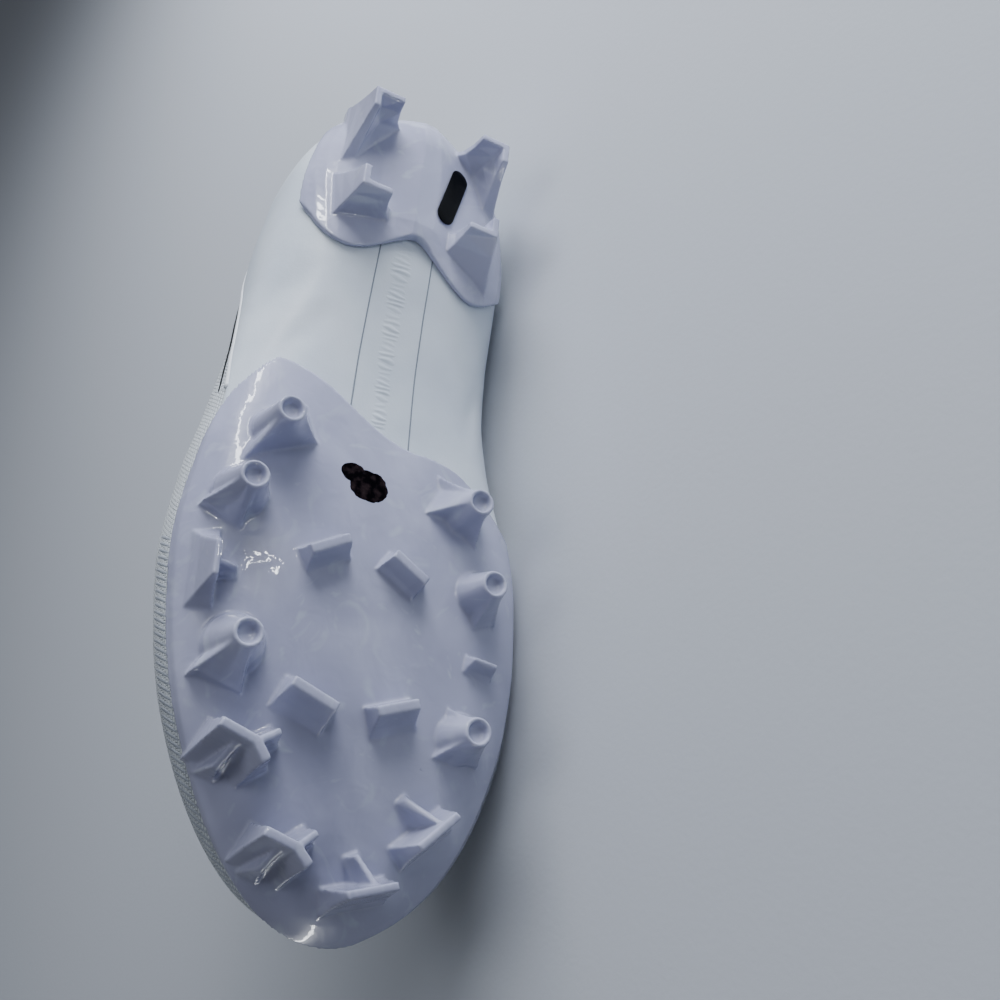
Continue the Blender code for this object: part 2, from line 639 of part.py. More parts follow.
def keel(x, v):
    """How much the heel plate thickens to its middle ridge, which runs out towards the arch."""
    if abs(v) > 0.5:
        return 0.0
    fade = (KEEL_FADE[1] - x) / (KEEL_FADE[1] - KEEL_FADE[0])
    share = max(0.0, 1.0 - abs(outer(x, v).y) / KEEL_HALF)
    return KEEL_HEIGHT * share * max(0.0, min(1.0, fade))


def make_plate(name, material, thickness, plan, rim, drop, studs):
    """A moulded plate: a layer of the shoe's own shape, cut to its outline, with its studs."""
    plate = form(name, lambda x, v: SEAT_GAP + thickness(x, v))
    plate.data.materials.append(material)
    boolean(plate, prism(name + "_plan", plan, "Z", -30, 70), "INTERSECT")
    side = [PlateEdge(rim[0].x, -30), *rim, PlateEdge(rim[-1].x, -30)]
    boolean(plate, prism(name + "_rim", side, "Y", -SIDE_REACH, SIDE_REACH, drop), "INTERSECT")
    for stud in studs:
        boolean(plate, stud, "UNION")
    boolean(plate, helper(form(name + "_seat", lambda x, v: SEAT_GAP)), "DIFFERENCE")
    return plate


# The plain dark inlay on the heel plate
INLAY_THICK = 0.6
INLAY_ENDS = ((27.0, -13.5), (47.0, -9.0))
INLAY_HALF = 3.6
ROUND_STEPS = 6


def make_inlay(material):
    """A plain bar with round ends that lies on the heel plate's medial facet."""
    start, end = Vector(INLAY_ENDS[0]), Vector(INLAY_ENDS[1])
    heading = math.atan2(end.y - start.y, end.x - start.x)
    outline = []
    for centre, turn in ((end, -math.pi / 2), (start, math.pi / 2)):
        for k in range(ROUND_STEPS + 1):
            a = heading + turn + math.pi * k / ROUND_STEPS
            y = centre.y + INLAY_HALF * math.sin(a)
            outline.append(PlanPoint(centre.x + INLAY_HALF * math.cos(a), y))

    def face(lift):
        return lambda x, v: SEAT_GAP + PLATE_THICK + keel(x, v) + SEAT_GAP + lift

    inlay = form("heel_inlay", face(INLAY_THICK))
    inlay.data.materials.append(material)
    boolean(inlay, prism("heel_inlay_plan", outline, "Z", -30, 30), "INTERSECT")
    boolean(inlay, helper(form("heel_inlay_seat", face(0.0))), "DIFFERENCE")
    return inlay


# The insole
InsoleTop = namedtuple("InsoleTop", "x z")
INSOLE_CLEAR = 0.8
INSOLE_STEP = 14


def make_insole(material):
    """The sock liner: what lies below its top line inside the upper's own shape."""
    insole = form("insole", lambda x, v: -(WALL + INSOLE_CLEAR))
    insole.data.materials.append(material)
    lift = WALL + INSOLE_THICK
    top = [InsoleTop(x, LAST["under_z"](x) + lift) for x in range(8, 292, INSOLE_STEP)]
    above = [InsoleTop(-20, 30), *top, InsoleTop(310, 42), InsoleTop(310, 220), InsoleTop(-20, 220)]
    boolean(insole, prism("insole_top", above, "Y", -SIDE_REACH, SIDE_REACH), "DIFFERENCE")
    return insole


# The eyestay, a U round the throat that carries the eyelets
EYESTAY_WIDTH = 14.0
EYESTAY_NOSE = 15.0
EYESTAY_BACK = 119.5
EYESTAY_LINE = (EYESTAY_BACK, 128, 140, 152, 164, 176, 188, 198, 206)
SLOT_LINE = (100, 112, 124, 136, 148, 160, 172, 184, 195, 201, 205)
SLOT_CLEAR = 0.5
EYELET_ROWS = (126, 138, 150, 162, 174, 186, 197)
EYELET_INSET = 7.0
EYELET_RADIUS = 2.1
EYELET_SIDES = 10
EYELET_PUNCH = 9.0
NOSE_STEPS = 8


def eyelet(x, side):
    """Middle of an eyelet on the outer face, and the wall's normal there."""
    low, high = 0.5, 1.0
    edge = TOP[side + "_y"](x)
    sign = 1 if side == "lat" else -1
    for _ in range(30):
        share = (low + high) / 2
        if abs(skin(x, sign * share).y - edge) > EYELET_INSET:
            low = share
        else:
            high = share
    return outer(x, sign * share), outward(x, sign * share)


def eyelet_cutter(x, side):
    """A round punch square to the wall."""
    place, normal = eyelet(x, side)
    bm = bmesh.new()
    turn = normal.to_track_quat("Z", "Y").to_matrix().to_4x4()
    bmesh.ops.create_cone(bm, cap_ends=True, segments=EYELET_SIDES, radius1=EYELET_RADIUS * MM,
                          radius2=EYELET_RADIUS * MM, depth=EYELET_PUNCH * MM,
                          matrix=Matrix.Translation(place * MM) @ turn)
    return helper(finish(bm, f"eyelet_{side}_{x}"))


def make_eyestay(material):
    """The reinforcement round the throat."""
    eyestay = form("eyestay", lambda x, v: SEAT_GAP + EYESTAY_THICK)
    eyestay.data.materials.append(material)
    lateral = [PlanPoint(x, TOP["lat_y"](x) + EYESTAY_WIDTH) for x in EYESTAY_LINE]
    medial = [PlanPoint(x, TOP["med_y"](x) - EYESTAY_WIDTH) for x in EYESTAY_LINE]
    front = EYESTAY_LINE[-1]
    middle = (TOP["lat_y"](THROAT_FRONT) + TOP["med_y"](THROAT_FRONT)) / 2
    half = (lateral[-1].y - medial[-1].y) / 2
    nose = []
    for k in range(1, NOSE_STEPS):
        a = math.pi / 2 - math.pi * k / NOSE_STEPS
        nose.append(PlanPoint(front + EYESTAY_NOSE * math.cos(a), middle + half * math.sin(a)))
    boolean(eyestay, prism("eyestay_plan", lateral + nose + medial[::-1], "Z", 50, 140), "INTERSECT")
    slot_lateral = [PlanPoint(x, TOP["lat_y"](x) + SLOT_CLEAR) for x in SLOT_LINE]
    slot_medial = [PlanPoint(x, TOP["med_y"](x) - SLOT_CLEAR) for x in SLOT_LINE]
    slot = slot_lateral + [PlanPoint(THROAT_FRONT + 1.0, middle)] + slot_medial[::-1]
    boolean(eyestay, prism("eyestay_slot", slot, "Z", 40, 150), "DIFFERENCE")
    boolean(eyestay, helper(form("eyestay_seat", lambda x, v: SEAT_GAP)), "DIFFERENCE")
    for x in EYELET_ROWS:
        for side in ("lat", "med"):
            boolean(eyestay, eyelet_cutter(x, side), "DIFFERENCE")
    return eyestay


# The tongue
Lip = namedtuple("Lip", "x z half drop")
TONGUE_TOP = [
    Lip(92, 119.5, 24.0, 15.0), Lip(97, 116.8, 24.5, 15.0), Lip(104, 112.0, 23.0, 14.0),
    Lip(111, 106.0, 19.0, 12.0),
]
TONGUE_LINE = (118, 126, 136, 148, 160, 172, 184, 195, 203, 212)
TONGUE_COLUMNS = (-1.0, -0.8, -0.6, -0.4, -0.2, 0.0, 0.2, 0.4, 0.6, 0.8, 1.0)
TONGUE_TUCK = 0.84
TONGUE_TUCK_WIDTH = 9.0
TONGUE_UNDER = 1.2
TONGUE_SPREAD = math.radians(68)
TONGUE_NECK = 112.0


def tongue_face(x, share):
    """The tongue's upper face at x; share runs from -1 at its medial edge to 1 at its lateral."""
    for lip in TONGUE_TOP:
        if lip.x == x:
            middle = (TOP["lat_y"](TONGUE_NECK) + TOP["med_y"](TONGUE_NECK)) / 2
            turn = share * TONGUE_SPREAD
            y = middle + lip.half * math.sin(turn) / math.sin(TONGUE_SPREAD)
            drop = lip.drop * (1 - math.cos(turn)) / (1 - math.cos(TONGUE_SPREAD))
            return Vector((x, y, lip.z - drop))
    sink = padding(x, 1.0) + TONGUE_UNDER
    sign = 1 if share >= 0 else -1
    half_gap = (top_edge(x, "lat").y - top_edge(x, "med").y) / 2
    open_share = half_gap / (half_gap + TONGUE_TUCK_WIDTH)
    edge = skin(x, sign * 1.0) - outward(x, sign * 1.0) * sink
    if abs(share) < open_share:
        top = (skin(x, 1.0) + skin(x, -1.0)) / 2 - Vector((0, 0, sink))
        return top.lerp(edge, abs(share) / open_share)
    under = sign * (1.0 - (1.0 - TONGUE_TUCK) * (abs(share) - open_share) / (1.0 - open_share))
    return skin(x, under) - outward(x, under) * sink


def make_tongue(material):
    """A padded sheet from under the vamp to above the collar."""
    rows = [lip.x for lip in TONGUE_TOP] + list(TONGUE_LINE)
    bm = sheet(rows, lambda x: TONGUE_COLUMNS, tongue_face)
    bmesh.ops.recalc_face_normals(bm, faces=bm.faces)
    for face in bm.faces:
        if face.normal.z < 0:
            bmesh.ops.reverse_faces(bm, faces=bm.faces)
            break
    mesh = bpy.data.meshes.new("tongue")
    bm.to_mesh(mesh)
    bm.free()
    mesh.materials.append(material)
    tongue = bpy.data.objects.new("tongue", mesh)
    bpy.context.scene.collection.objects.link(tongue)
    pad = tongue.modifiers.new("pad", "SOLIDIFY")
    pad.thickness = TONGUE_THICK * MM
    pad.offset = -1
    return tongue


# The laces, a flat bar across the throat at each row of eyelets
LACE_GAP = 0.5
LACE_LIFT = 1.2


def lace_bar(name, x, material):
    """A flat strip from the lateral eyelet to the medial one, over both edges of the throat."""
    rise = SEAT_GAP + EYESTAY_THICK + LACE_GAP + LACE_THICK / 2
    lateral, lateral_normal = eyelet(x, "lat")
    medial, medial_normal = eyelet(x, "med")
    edge_lat = outer(x, 1.0) + outward(x, 1.0) * (rise + LACE_LIFT)
    edge_med = outer(x, -1.0) + outward(x, -1.0) * (rise + LACE_LIFT)
    middle = (edge_lat + edge_med) / 2 + Vector((0, 0, LACE_LIFT))
    path = [lateral + lateral_normal * rise, edge_lat, middle, edge_med, medial + medial_normal * rise]
    normals = [lateral_normal, outward(x, 1.0), Vector((0, 0, 1)), outward(x, -1.0), medial_normal]
    rings = []
    for i, (place, normal) in enumerate(zip(path, normals)):
        ahead = (path[min(i + 1, len(path) - 1)] - path[max(i - 1, 0)]).normalized()
        side = ahead.cross(normal).normalized() * LACE_WIDTH / 2
        up = side.cross(ahead).normalized() * LACE_THICK / 2
        rings.append([place - side - up, place + side - up, place + side + up, place - side + up])
    bar = loft(name, rings)
    bar.data.materials.append(material)
    return bar


def clear_scene():
    for obj in list(bpy.data.objects):
        bpy.data.objects.remove(obj)


def main():
    clear_scene()
    upper_cloth = paint("upper textile", (0.58, 0.64, 0.70), 0.75)
    plate_plastic = paint("outsole plastic", (0.40, 0.42, 0.56), 0.22)
    inlay_plastic = paint("inlay plastic", (0.004, 0.005, 0.010), 0.25)
    stay_film = paint("eyestay film", (0.60, 0.64, 0.70), 0.45)
    liner_foam = paint("liner foam", (0.50, 0.52, 0.56), 0.85)
    lace_cord = paint("lace polyester", (0.66, 0.68, 0.72), 0.8)

    pieces = [
        make_upper(upper_cloth),
        make_plate("forefoot_plate", plate_plastic, lambda x, v: PLATE_THICK, FOREFOOT_PLAN,
                   FOREFOOT_RIM, FOREFOOT_RIM_DROP,
                   [cone_stud(c) for c in CONES] + [blade_stud(b) for b in BLADES]),
        make_plate("heel_plate", plate_plastic, lambda x, v: PLATE_THICK + keel(x, v), HEEL_PLAN,
                   HEEL_RIM, HEEL_RIM_DROP, [chevron_stud(c) for c in CHEVRONS]),
        make_inlay(inlay_plastic),
        make_insole(liner_foam),
        make_tongue(upper_cloth),
        make_eyestay(stay_film),
        *[lace_bar(f"lace_bar_{k}", x, lace_cord) for k, x in enumerate(EYELET_ROWS, start=1)],
    ]
    lying = bpy.data.objects.new("lying_shoe", None)
    bpy.context.scene.collection.objects.link(lying)
    lying.rotation_euler = Euler([math.radians(a) for a in REST_TURN])
    lying.location = Vector(REST_SHIFT) * MM
    for obj in list(bpy.data.objects):
        if obj is not lying:
            obj.parent = lying
    for obj in pieces:
        obj.data.shade_smooth()
        obj.data.set_sharp_from_angle(angle=CREASE_ANGLE)


main()
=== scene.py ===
# %% [markdown]
# # An american football cleat in Blender
#
# A cleat is a textile boot on two moulded plates. This lesson dresses a plain model of the left
# one. The shoe is worked out standing, in millimetres: x from heel to toe, y towards the lateral
# side, z up from the stud tips. One turn and one shift then lay it on its medial side.

import math
from collections import namedtuple
from functools import lru_cache

import bmesh
import bpy
import numpy as np
from mathutils import Euler, Matrix, Vector


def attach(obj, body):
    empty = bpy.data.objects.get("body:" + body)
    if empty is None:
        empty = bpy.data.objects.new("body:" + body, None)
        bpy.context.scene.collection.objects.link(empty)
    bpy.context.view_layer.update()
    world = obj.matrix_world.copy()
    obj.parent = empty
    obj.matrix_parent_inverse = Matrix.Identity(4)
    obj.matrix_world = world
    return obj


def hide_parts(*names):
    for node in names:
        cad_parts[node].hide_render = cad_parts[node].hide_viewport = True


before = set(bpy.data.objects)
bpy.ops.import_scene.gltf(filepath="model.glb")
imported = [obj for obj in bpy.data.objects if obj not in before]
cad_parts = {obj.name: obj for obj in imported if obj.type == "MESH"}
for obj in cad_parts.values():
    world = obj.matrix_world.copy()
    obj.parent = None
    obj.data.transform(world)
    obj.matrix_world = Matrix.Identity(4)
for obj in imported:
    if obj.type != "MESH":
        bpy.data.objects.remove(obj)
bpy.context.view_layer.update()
MM = 0.001
print("nodes:", len(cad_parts))

# %% [markdown]
# The shoe lies on three places: the rim of the forefoot plate, the heel and the padded collar.
# The same turn and shift carry the camera, so that it keeps its angle to the shoe.

# %% Lying on the medial side
REST_TURN = (103.2259, -4.2937, 180.0)
REST_SHIFT = (144.665, -53.890, 47.548)
TURN = Euler([math.radians(a) for a in REST_TURN]).to_matrix()
LAY = Matrix.Translation(Vector(REST_SHIFT) * MM) @ TURN.to_4x4() @ Matrix.Scale(MM, 4)
STAND = LAY.inverted()
print("sole faces", [round(c, 2) for c in TURN @ Vector((0, 0, -1))])

# %% [markdown]
# ## Camera and light
#
# The camera looks at the sole from the toe end. Its rows below are the directions of image right,
# image down and forward, in the standing shoe's axes.

# %% Camera
CAMERA_AT = Vector((301.61, 98.91, -270.31))
CAMERA_RIGHT = Vector((-0.07724, -0.87615, -0.47581))
CAMERA_DOWN = Vector((0.9002, -0.26642, 0.34446))
CAMERA_AHEAD = Vector((-0.42856, -0.40172, 0.80929))
FOCAL_MM = 37.72
SENSOR_MM = 36.0
CLIP_START_M = 0.01


def seen_from(right, up, back):
    """A world point, in metres, given in millimetres from the camera along its own axes."""
    return LAY @ (CAMERA_AT + CAMERA_RIGHT * right - CAMERA_DOWN * up - CAMERA_AHEAD * back)


def camera_axes():
    """The camera's turn in the world."""
    columns = (TURN @ CAMERA_RIGHT, TURN @ -CAMERA_DOWN, TURN @ -CAMERA_AHEAD)
    return Matrix(columns).transposed()


lens = bpy.data.cameras.new("camera")
lens.lens = FOCAL_MM
lens.sensor_width = SENSOR_MM
lens.clip_start = CLIP_START_M
camera = bpy.data.objects.new("camera", lens)
camera.matrix_world = Matrix.Translation(LAY @ CAMERA_AT) @ camera_axes().to_4x4()
bpy.context.scene.collection.objects.link(camera)
bpy.context.scene.camera = camera
print("camera height above the floor:", round(camera.matrix_world.translation.z, 3))

# %% [markdown]
# The light falls from the heel end, as from a window behind the shoe. Faces that look to the toe
# stay dark. The wide lamps only light. The narrow ones light nothing by themselves: they only
# show in the gloss of the plates, where they draw thin bright lines.

# %% Light
AIM = LAY @ Vector((165.0, 0.0, 10.0))
Lamp = namedtuple("Lamp", "name right up back width height watts shown")
LAMPS = [
    Lamp("window", -120, 900, -300, 800, 500, 19.0, False),
    Lamp("front_fill", 0, 290, 60, 160, 160, 0.3, False),
    Lamp("line_above", -60, 760, 40, 420, 30, 1.9, True),
    Lamp("line_below", -40, -540, -150, 480, 18, 1.0, True),
    Lamp("strip_top", 165, 330, 40, 5, 130, 0.15, True),
    Lamp("strip_side", -190, 260, 60, 5, 150, 0.32, True),
    Lamp("side_fill", -600, 200, 80, 360, 360, 1.2, False),
]
DAYLIGHT = (0.93, 0.96, 1.0)
ROOM_COLOUR = (0.64, 0.67, 0.73, 1)
ROOM_STRENGTH = 0.19
for lamp in LAMPS:
    light = bpy.data.lights.new(lamp.name, "AREA")
    light.shape = "RECTANGLE"
    light.size = lamp.width * MM
    light.size_y = lamp.height * MM
    light.energy = lamp.watts
    light.color = DAYLIGHT
    holder = bpy.data.objects.new(lamp.name, light)
    holder.location = seen_from(lamp.right, lamp.up, lamp.back)
    holder.rotation_euler = (AIM - holder.location).to_track_quat("-Z", "Y").to_euler()
    holder.visible_glossy = lamp.shown
    holder.visible_diffuse = not lamp.shown
    bpy.context.scene.collection.objects.link(holder)
world = bpy.data.worlds.new("studio")
world.use_nodes = True
background = world.node_tree.nodes["Background"]
background.inputs["Color"].default_value = ROOM_COLOUR
background.inputs["Strength"].default_value = ROOM_STRENGTH
bpy.context.scene.world = world
print("lights:", len(LAMPS))

# %% [markdown]
# ## Finishes
#
# Each material is named for what the real surface is made of. Patterns are sized in millimetres
# and read the attribute `shoe`, the place on the standing shoe, or the piece's own UV map.

# %% Colour and node helpers
def srgb(code):
    """A hex colour as linear red, green, blue and alpha."""
    channels = [int(code[i:i + 2], 16) / 255 for i in (1, 3, 5)]
    line = [c / 12.92 if c <= 0.04045 else ((c + 0.055) / 1.055) ** 2.4 for c in channels]
    return (*line, 1.0)


def start(name, colour, roughness, **values):
    """A material whose shader has the values that are the same all over the surface."""
    material = bpy.data.materials.new(name)
    material.use_nodes = True
    shader = material.node_tree.nodes["Principled BSDF"]
    shader.inputs["Base Color"].default_value = srgb(colour)
    shader.inputs["Roughness"].default_value = roughness
    for key, value in values.items():
        shader.inputs[key.replace("_", " ")].default_value = value
    return material


def add(material, kind, inputs=(), feeds=(), **settings):
    """Adds a node: its settings, its inputs as values or other nodes' outputs, and the sockets
    of the shader that its first output feeds. Returns its outputs."""
    tree = material.node_tree
    node = tree.nodes.new("ShaderNode" + kind)
    for key, value in settings.items():
        setattr(node, key, value)
    for key, value in dict(inputs).items():
        if isinstance(value, bpy.types.NodeSocket):
            tree.links.new(value, node.inputs[key])
        else:
            node.inputs[key].default_value = value
    first = next(output for output in node.outputs if output.enabled)
    for socket in feeds:
        tree.links.new(first, tree.nodes["Principled BSDF"].inputs[socket])
    return node.outputs


print("white in linear light:", srgb("#FFFFFF")[:3])

# %% Clouds of two colours
def mottle(material, where, size_mm, span, colours, feeds=(), most=1.0, **noise):
    """Mixes two colours by clouds of that size. The second colour grows, up to its most, where
    the noise lies in the span."""
    cloud = add(material, "TexNoise", {"Vector": where, "Scale": 1 / size_mm, **noise})["Fac"]
    share = add(material, "MapRange", {"Value": cloud, "From Min": span[0], "From Max": span[1],
                                       "To Max": most})["Result"]
    return add(material, "Mix", {"Factor": share, "A": colours[0], "B": colours[1]}, feeds,
               data_type="RGBA")["Result"]


print("colour of clean plastic:", [round(c, 2) for c in srgb("#A1A3BA")[:3]])

# %% [markdown]
# The outsole is thermoplastic polyurethane, moulded in a polished steel tool. It is milky, pale
# lilac and very glossy, with clouds where the melt cooled unevenly, and its face waves slightly
# where thick parts shrank.

# %% Moulded outsole plastic
CLOUD_MM = 38.0
STREAK_MM = 17.0
RIPPLE_MM = 9.0
RIPPLE_DEPTH = 0.20
SOFT_SPAN = (0.35, 0.65)
STREAK_SPAN = (0.58, 0.74)
STREAK_MOST = 0.40
MILK_DEPTH_M = 0.003
outsole = start("moulded gloss TPU", "#A1A3BA", 0.24, IOR=1.5, Coat_Roughness=0.015,
                Subsurface_Scale=1.0, Subsurface_Radius=(MILK_DEPTH_M,) * 3)
where = add(outsole, "Attribute", attribute_name="shoe")["Vector"]
milk = mottle(outsole, where, CLOUD_MM, SOFT_SPAN, (srgb("#989BB5"), srgb("#ABAEC8")),
              Detail=3.0, Distortion=0.8)
milk = mottle(outsole, where, STREAK_MM, STREAK_SPAN, (milk, srgb("#B9C0CF")),
              most=STREAK_MOST, Detail=2.0, Distortion=2.5)
ripple = add(outsole, "TexNoise", {"Vector": where, "Scale": 1 / RIPPLE_MM, "Detail": 2.0,
                                   "Distortion": 0.7})["Fac"]
add(outsole, "Bump", {"Height": ripple, "Distance": RIPPLE_DEPTH * MM},
    feeds=("Normal", "Coat Normal"))
print("clouds of", CLOUD_MM, "mm in the plastic")

# %% [markdown]
# A brown-black blot of dried glue lies on the waist of the forefoot plate. It is two round drops
# that ran together, so the mask is the nearer of two ellipses with a wandering edge.

# %% The blot
BLOT_EDGE_SCALE = 0.22
BLOT_WANDER = 0.5
BLOT_REACH = 1.25
CRUST_MM = 2.5
CRUST_SPAN = (0.45, 0.75)
CLEAN_PLASTIC = {"Subsurface Weight": 0.08, "Coat Weight": 0.7, "Specular IOR Level": 0.5}
Drop = namedtuple("Drop", "at half")
DROPS = [Drop((160.4, 4.2, 13.5), (5.5, 6.2, 9.0)), Drop((156.9, 9.8, 13.5), (3.3, 3.9, 9.0))]
aways = []
for drop in DROPS:
    offset = add(outsole, "VectorMath", {0: where, 1: drop.at}, operation="SUBTRACT")["Vector"]
    scaled = add(outsole, "VectorMath", {0: offset, 1: drop.half}, operation="DIVIDE")["Vector"]
    aways.append(add(outsole, "VectorMath", {0: scaled}, operation="LENGTH")["Value"])
nearest = add(outsole, "Math", {0: aways[0], 1: aways[1]}, operation="MINIMUM")["Value"]
edge = add(outsole, "TexNoise", {"Vector": where, "Scale": BLOT_EDGE_SCALE,
                                 "Detail": 2.0})["Fac"]
nearest = add(outsole, "Math", {0: edge, 1: BLOT_WANDER, 2: nearest},
              operation="MULTIPLY_ADD")["Value"]
blot = add(outsole, "Math", {0: nearest, 1: BLOT_REACH}, operation="LESS_THAN")["Value"]
glue = mottle(outsole, where, CRUST_MM, CRUST_SPAN, (srgb("#07060A"), srgb("#2E2528")),
              Detail=3.0)
add(outsole, "Mix", {"Factor": blot, "A": milk, "B": glue}, feeds=("Base Color",),
    data_type="RGBA")
for socket, clean in CLEAN_PLASTIC.items():
    add(outsole, "Math", {0: blot, 1: -clean, 2: clean}, feeds=(socket,),
        operation="MULTIPLY_ADD")
print("drops:", len(DROPS))

# %% [markdown]
# The heel and the arch wear a heat-pressed film over knit. It is satin, nearly white in a cool
# light, and the knit below shows through as a fine grain. Where the film ends, the coated knit is
# bare: its stitches are staggered dimples.

# %% Pressed film
FILM_CLOUD_MM = 30
WAVE_MM = 7
GRAIN_MM = 0.7
GRAIN_SHARE = 0.3
FILM_RELIEF = 0.14
film = start("heat-pressed polyurethane film", "#CFD6DD", 0.40, Coat_Weight=0.15,
             Coat_Roughness=0.25)
where = add(film, "Attribute", attribute_name="shoe")["Vector"]
mottle(film, where, FILM_CLOUD_MM, SOFT_SPAN, (srgb("#BFC9D6"), srgb("#CDD6E1")),
       ("Base Color",), Detail=3.0)
wave = add(film, "TexNoise", {"Vector": where, "Scale": 1 / WAVE_MM, "Detail": 2.0})["Fac"]
grain = add(film, "TexNoise", {"Vector": where, "Scale": 1 / GRAIN_MM, "Detail": 2.0})["Fac"]
relief = add(film, "Math", {0: grain, 1: GRAIN_SHARE, 2: wave},
             operation="MULTIPLY_ADD")["Value"]
add(film, "Bump", {"Height": relief, "Distance": FILM_RELIEF * MM}, feeds=("Normal",))
print("grain of the film:", GRAIN_MM, "mm")

# %% Knit
KNIT_PITCH_MM = 1.5
ROW_SHARE = 0.8
GAP_SHARE = 0.16
KNIT_RELIEF = 0.25
knit = start("coated polyester knit", "#C3CAD2", 0.62, Sheen_Weight=0.15)
weave = add(knit, "UVMap", uv_map="weave")["UV"]
loops = add(knit, "TexBrick", {"Vector": weave, "Scale": 1.0, "Brick Width": KNIT_PITCH_MM,
                               "Row Height": KNIT_PITCH_MM * ROW_SHARE, "Mortar Smooth": 1.0,
                               "Mortar Size": KNIT_PITCH_MM * GAP_SHARE, "Color1": (1, 1, 1, 1),
                               "Color2": (1, 1, 1, 1), "Mortar": (0, 0, 0, 1)})["Color"]
add(knit, "Mix", {"Factor": loops, "A": srgb("#A0A7B1"), "B": srgb("#C9D0D7")},
    feeds=("Base Color",), data_type="RGBA")
add(knit, "Bump", {"Height": loops, "Distance": KNIT_RELIEF * MM}, feeds=("Normal",))
print("knit pitch", KNIT_PITCH_MM, "mm")

# %% [markdown]
# The small parts are cloth, foam, thread and plain plastics. All but the lace get a fine noise
# bump whose size and depth are the row's last two numbers, in millimetres.

# %% Small finishes
Finish = namedtuple("Finish", "name colour roughness sheen coat shine grain_mm depth_mm")
FINISHES = {
    "lining": Finish("brushed polyester lining", "#BDC2CA", 0.9, 0.3, 0.0, 0.5, 0.8, 0.30),
    "foam": Finish("embossed EVA sock liner", "#B2B7C1", 0.85, 0.2, 0.0, 0.5, 1.2, 0.35),
    "stay": Finish("embossed TPU eyestay", "#C3CAD4", 0.38, 0.0, 0.2, 0.5, 1.0, 0.12),
    "bead": Finish("extruded TPU bead", "#DCE1E8", 0.30, 0.0, 0.0, 0.5, 2.0, 0.10),
    "seam": Finish("grey seam tape", "#737B88", 0.60, 0.0, 0.0, 0.5, 1.0, 0.05),
    "foxing": Finish("pressed foxing textile", "#9FA6B2", 0.60, 0.0, 0.0, 0.5, 0.8, 0.20),
    "piping": Finish("matt black piping", "#101114", 0.50, 0.0, 0.0, 0.5, 1.5, 0.10),
    "thread": Finish("bonded nylon thread", "#CFD4DC", 0.60, 0.2, 0.0, 0.5, 0.5, 0.10),
    "inlay": Finish("moulded black ABS", "#030406", 0.30, 0.0, 0.0, 0.1, 2.5, 0.05),
}
finishes = {}
for key, row in FINISHES.items():
    finishes[key] = start(row.name, row.colour, row.roughness, Sheen_Weight=row.sheen,
                          Coat_Weight=row.coat, Specular_IOR_Level=row.shine)
    where = add(finishes[key], "Attribute", attribute_name="shoe")["Vector"]
    grain = add(finishes[key], "TexNoise", {"Vector": where, "Scale": 1 / row.grain_mm,
                                            "Detail": 3.0})["Fac"]
    add(finishes[key], "Bump", {"Height": grain, "Distance": row.depth_mm * MM},
        feeds=("Normal",))

print("small finishes:", len(finishes))

# %% Lace weave
CHECKS_PER_MM = 1.6
LACE_RELIEF = 0.25
lace_weave = start("woven polyester lace", "#D2D6DD", 0.75, Sheen_Weight=0.25)
weave = add(lace_weave, "UVMap", uv_map="weave")["UV"]
turned = add(lace_weave, "Mapping", {"Vector": weave, "Rotation": (0, 0, math.pi / 4)})["Vector"]
checks = add(lace_weave, "TexChecker", {"Vector": turned, "Scale": CHECKS_PER_MM})["Fac"]
add(lace_weave, "Bump", {"Height": checks, "Distance": LACE_RELIEF * MM}, feeds=("Normal",))
print("materials:", len(bpy.data.materials))

# %% [markdown]
# ## The last
#
# Every piece of a shoe is shaped on its last, so here every surface comes from one function. A
# section has its underside, the widest point of each side and the top edge. Smooth curves run
# through the tables, and a Bezier arc joins the points of a section.

# %% Sections of the last
LENGTH = 291.5
BALL_X = 184.0
Section = namedtuple("Section", "x under_z lat_y lat_z med_y med_z flat")
SECTIONS = [Section(*row) for row in (
    (0, 47, 0, 47, 0, 47, 0.60),
    (1.5, 34, 12.4, 47, -10.6, 47, 0.62),
    (4, 27, 20.6, 48, -17.6, 46, 0.66),
    (10, 19.6, 31, 50, -26.6, 45, 0.74),
    (20, 16.6, 38.8, 52, -33.8, 44, 0.82),
    (38, 16, 44.6, 53, -39.4, 43, 0.86),
    (63, 16.4, 47.4, 52, -42, 42, 0.80),
    (91, 18.8, 48.8, 48, -41.6, 42, 0.75),
    (112, 20, 50.2, 43, -42, 41, 0.73),
    (136, 18.8, 53.4, 39.5, -45, 38, 0.77),
    (160, 16, 57.2, 37.5, -50.6, 32.5, 0.82),
    (184, 14.7, 58.6, 37, -54.6, 29, 0.85),
    (208, 14.5, 55.6, 37, -55.8, 28.5, 0.85),
    (227, 15.1, 50.8, 37, -54.6, 29, 0.84),
    (249, 17, 41.8, 37, -49.6, 30, 0.81),
    (268, 20, 30.4, 36.5, -41.2, 31.5, 0.77),
    (281, 23.8, 18.4, 36, -30.2, 33, 0.71),
    (288, 28, 7, 35, -18.6, 34, 0.64),
    (291.5, 34, -6, 34, -6, 34, 0.60),
)]
THROAT_FRONT = 208.0
COLLAR_BACK = 7.0
Edge = namedtuple("Edge", "x lat_y lat_z med_y med_z lean")
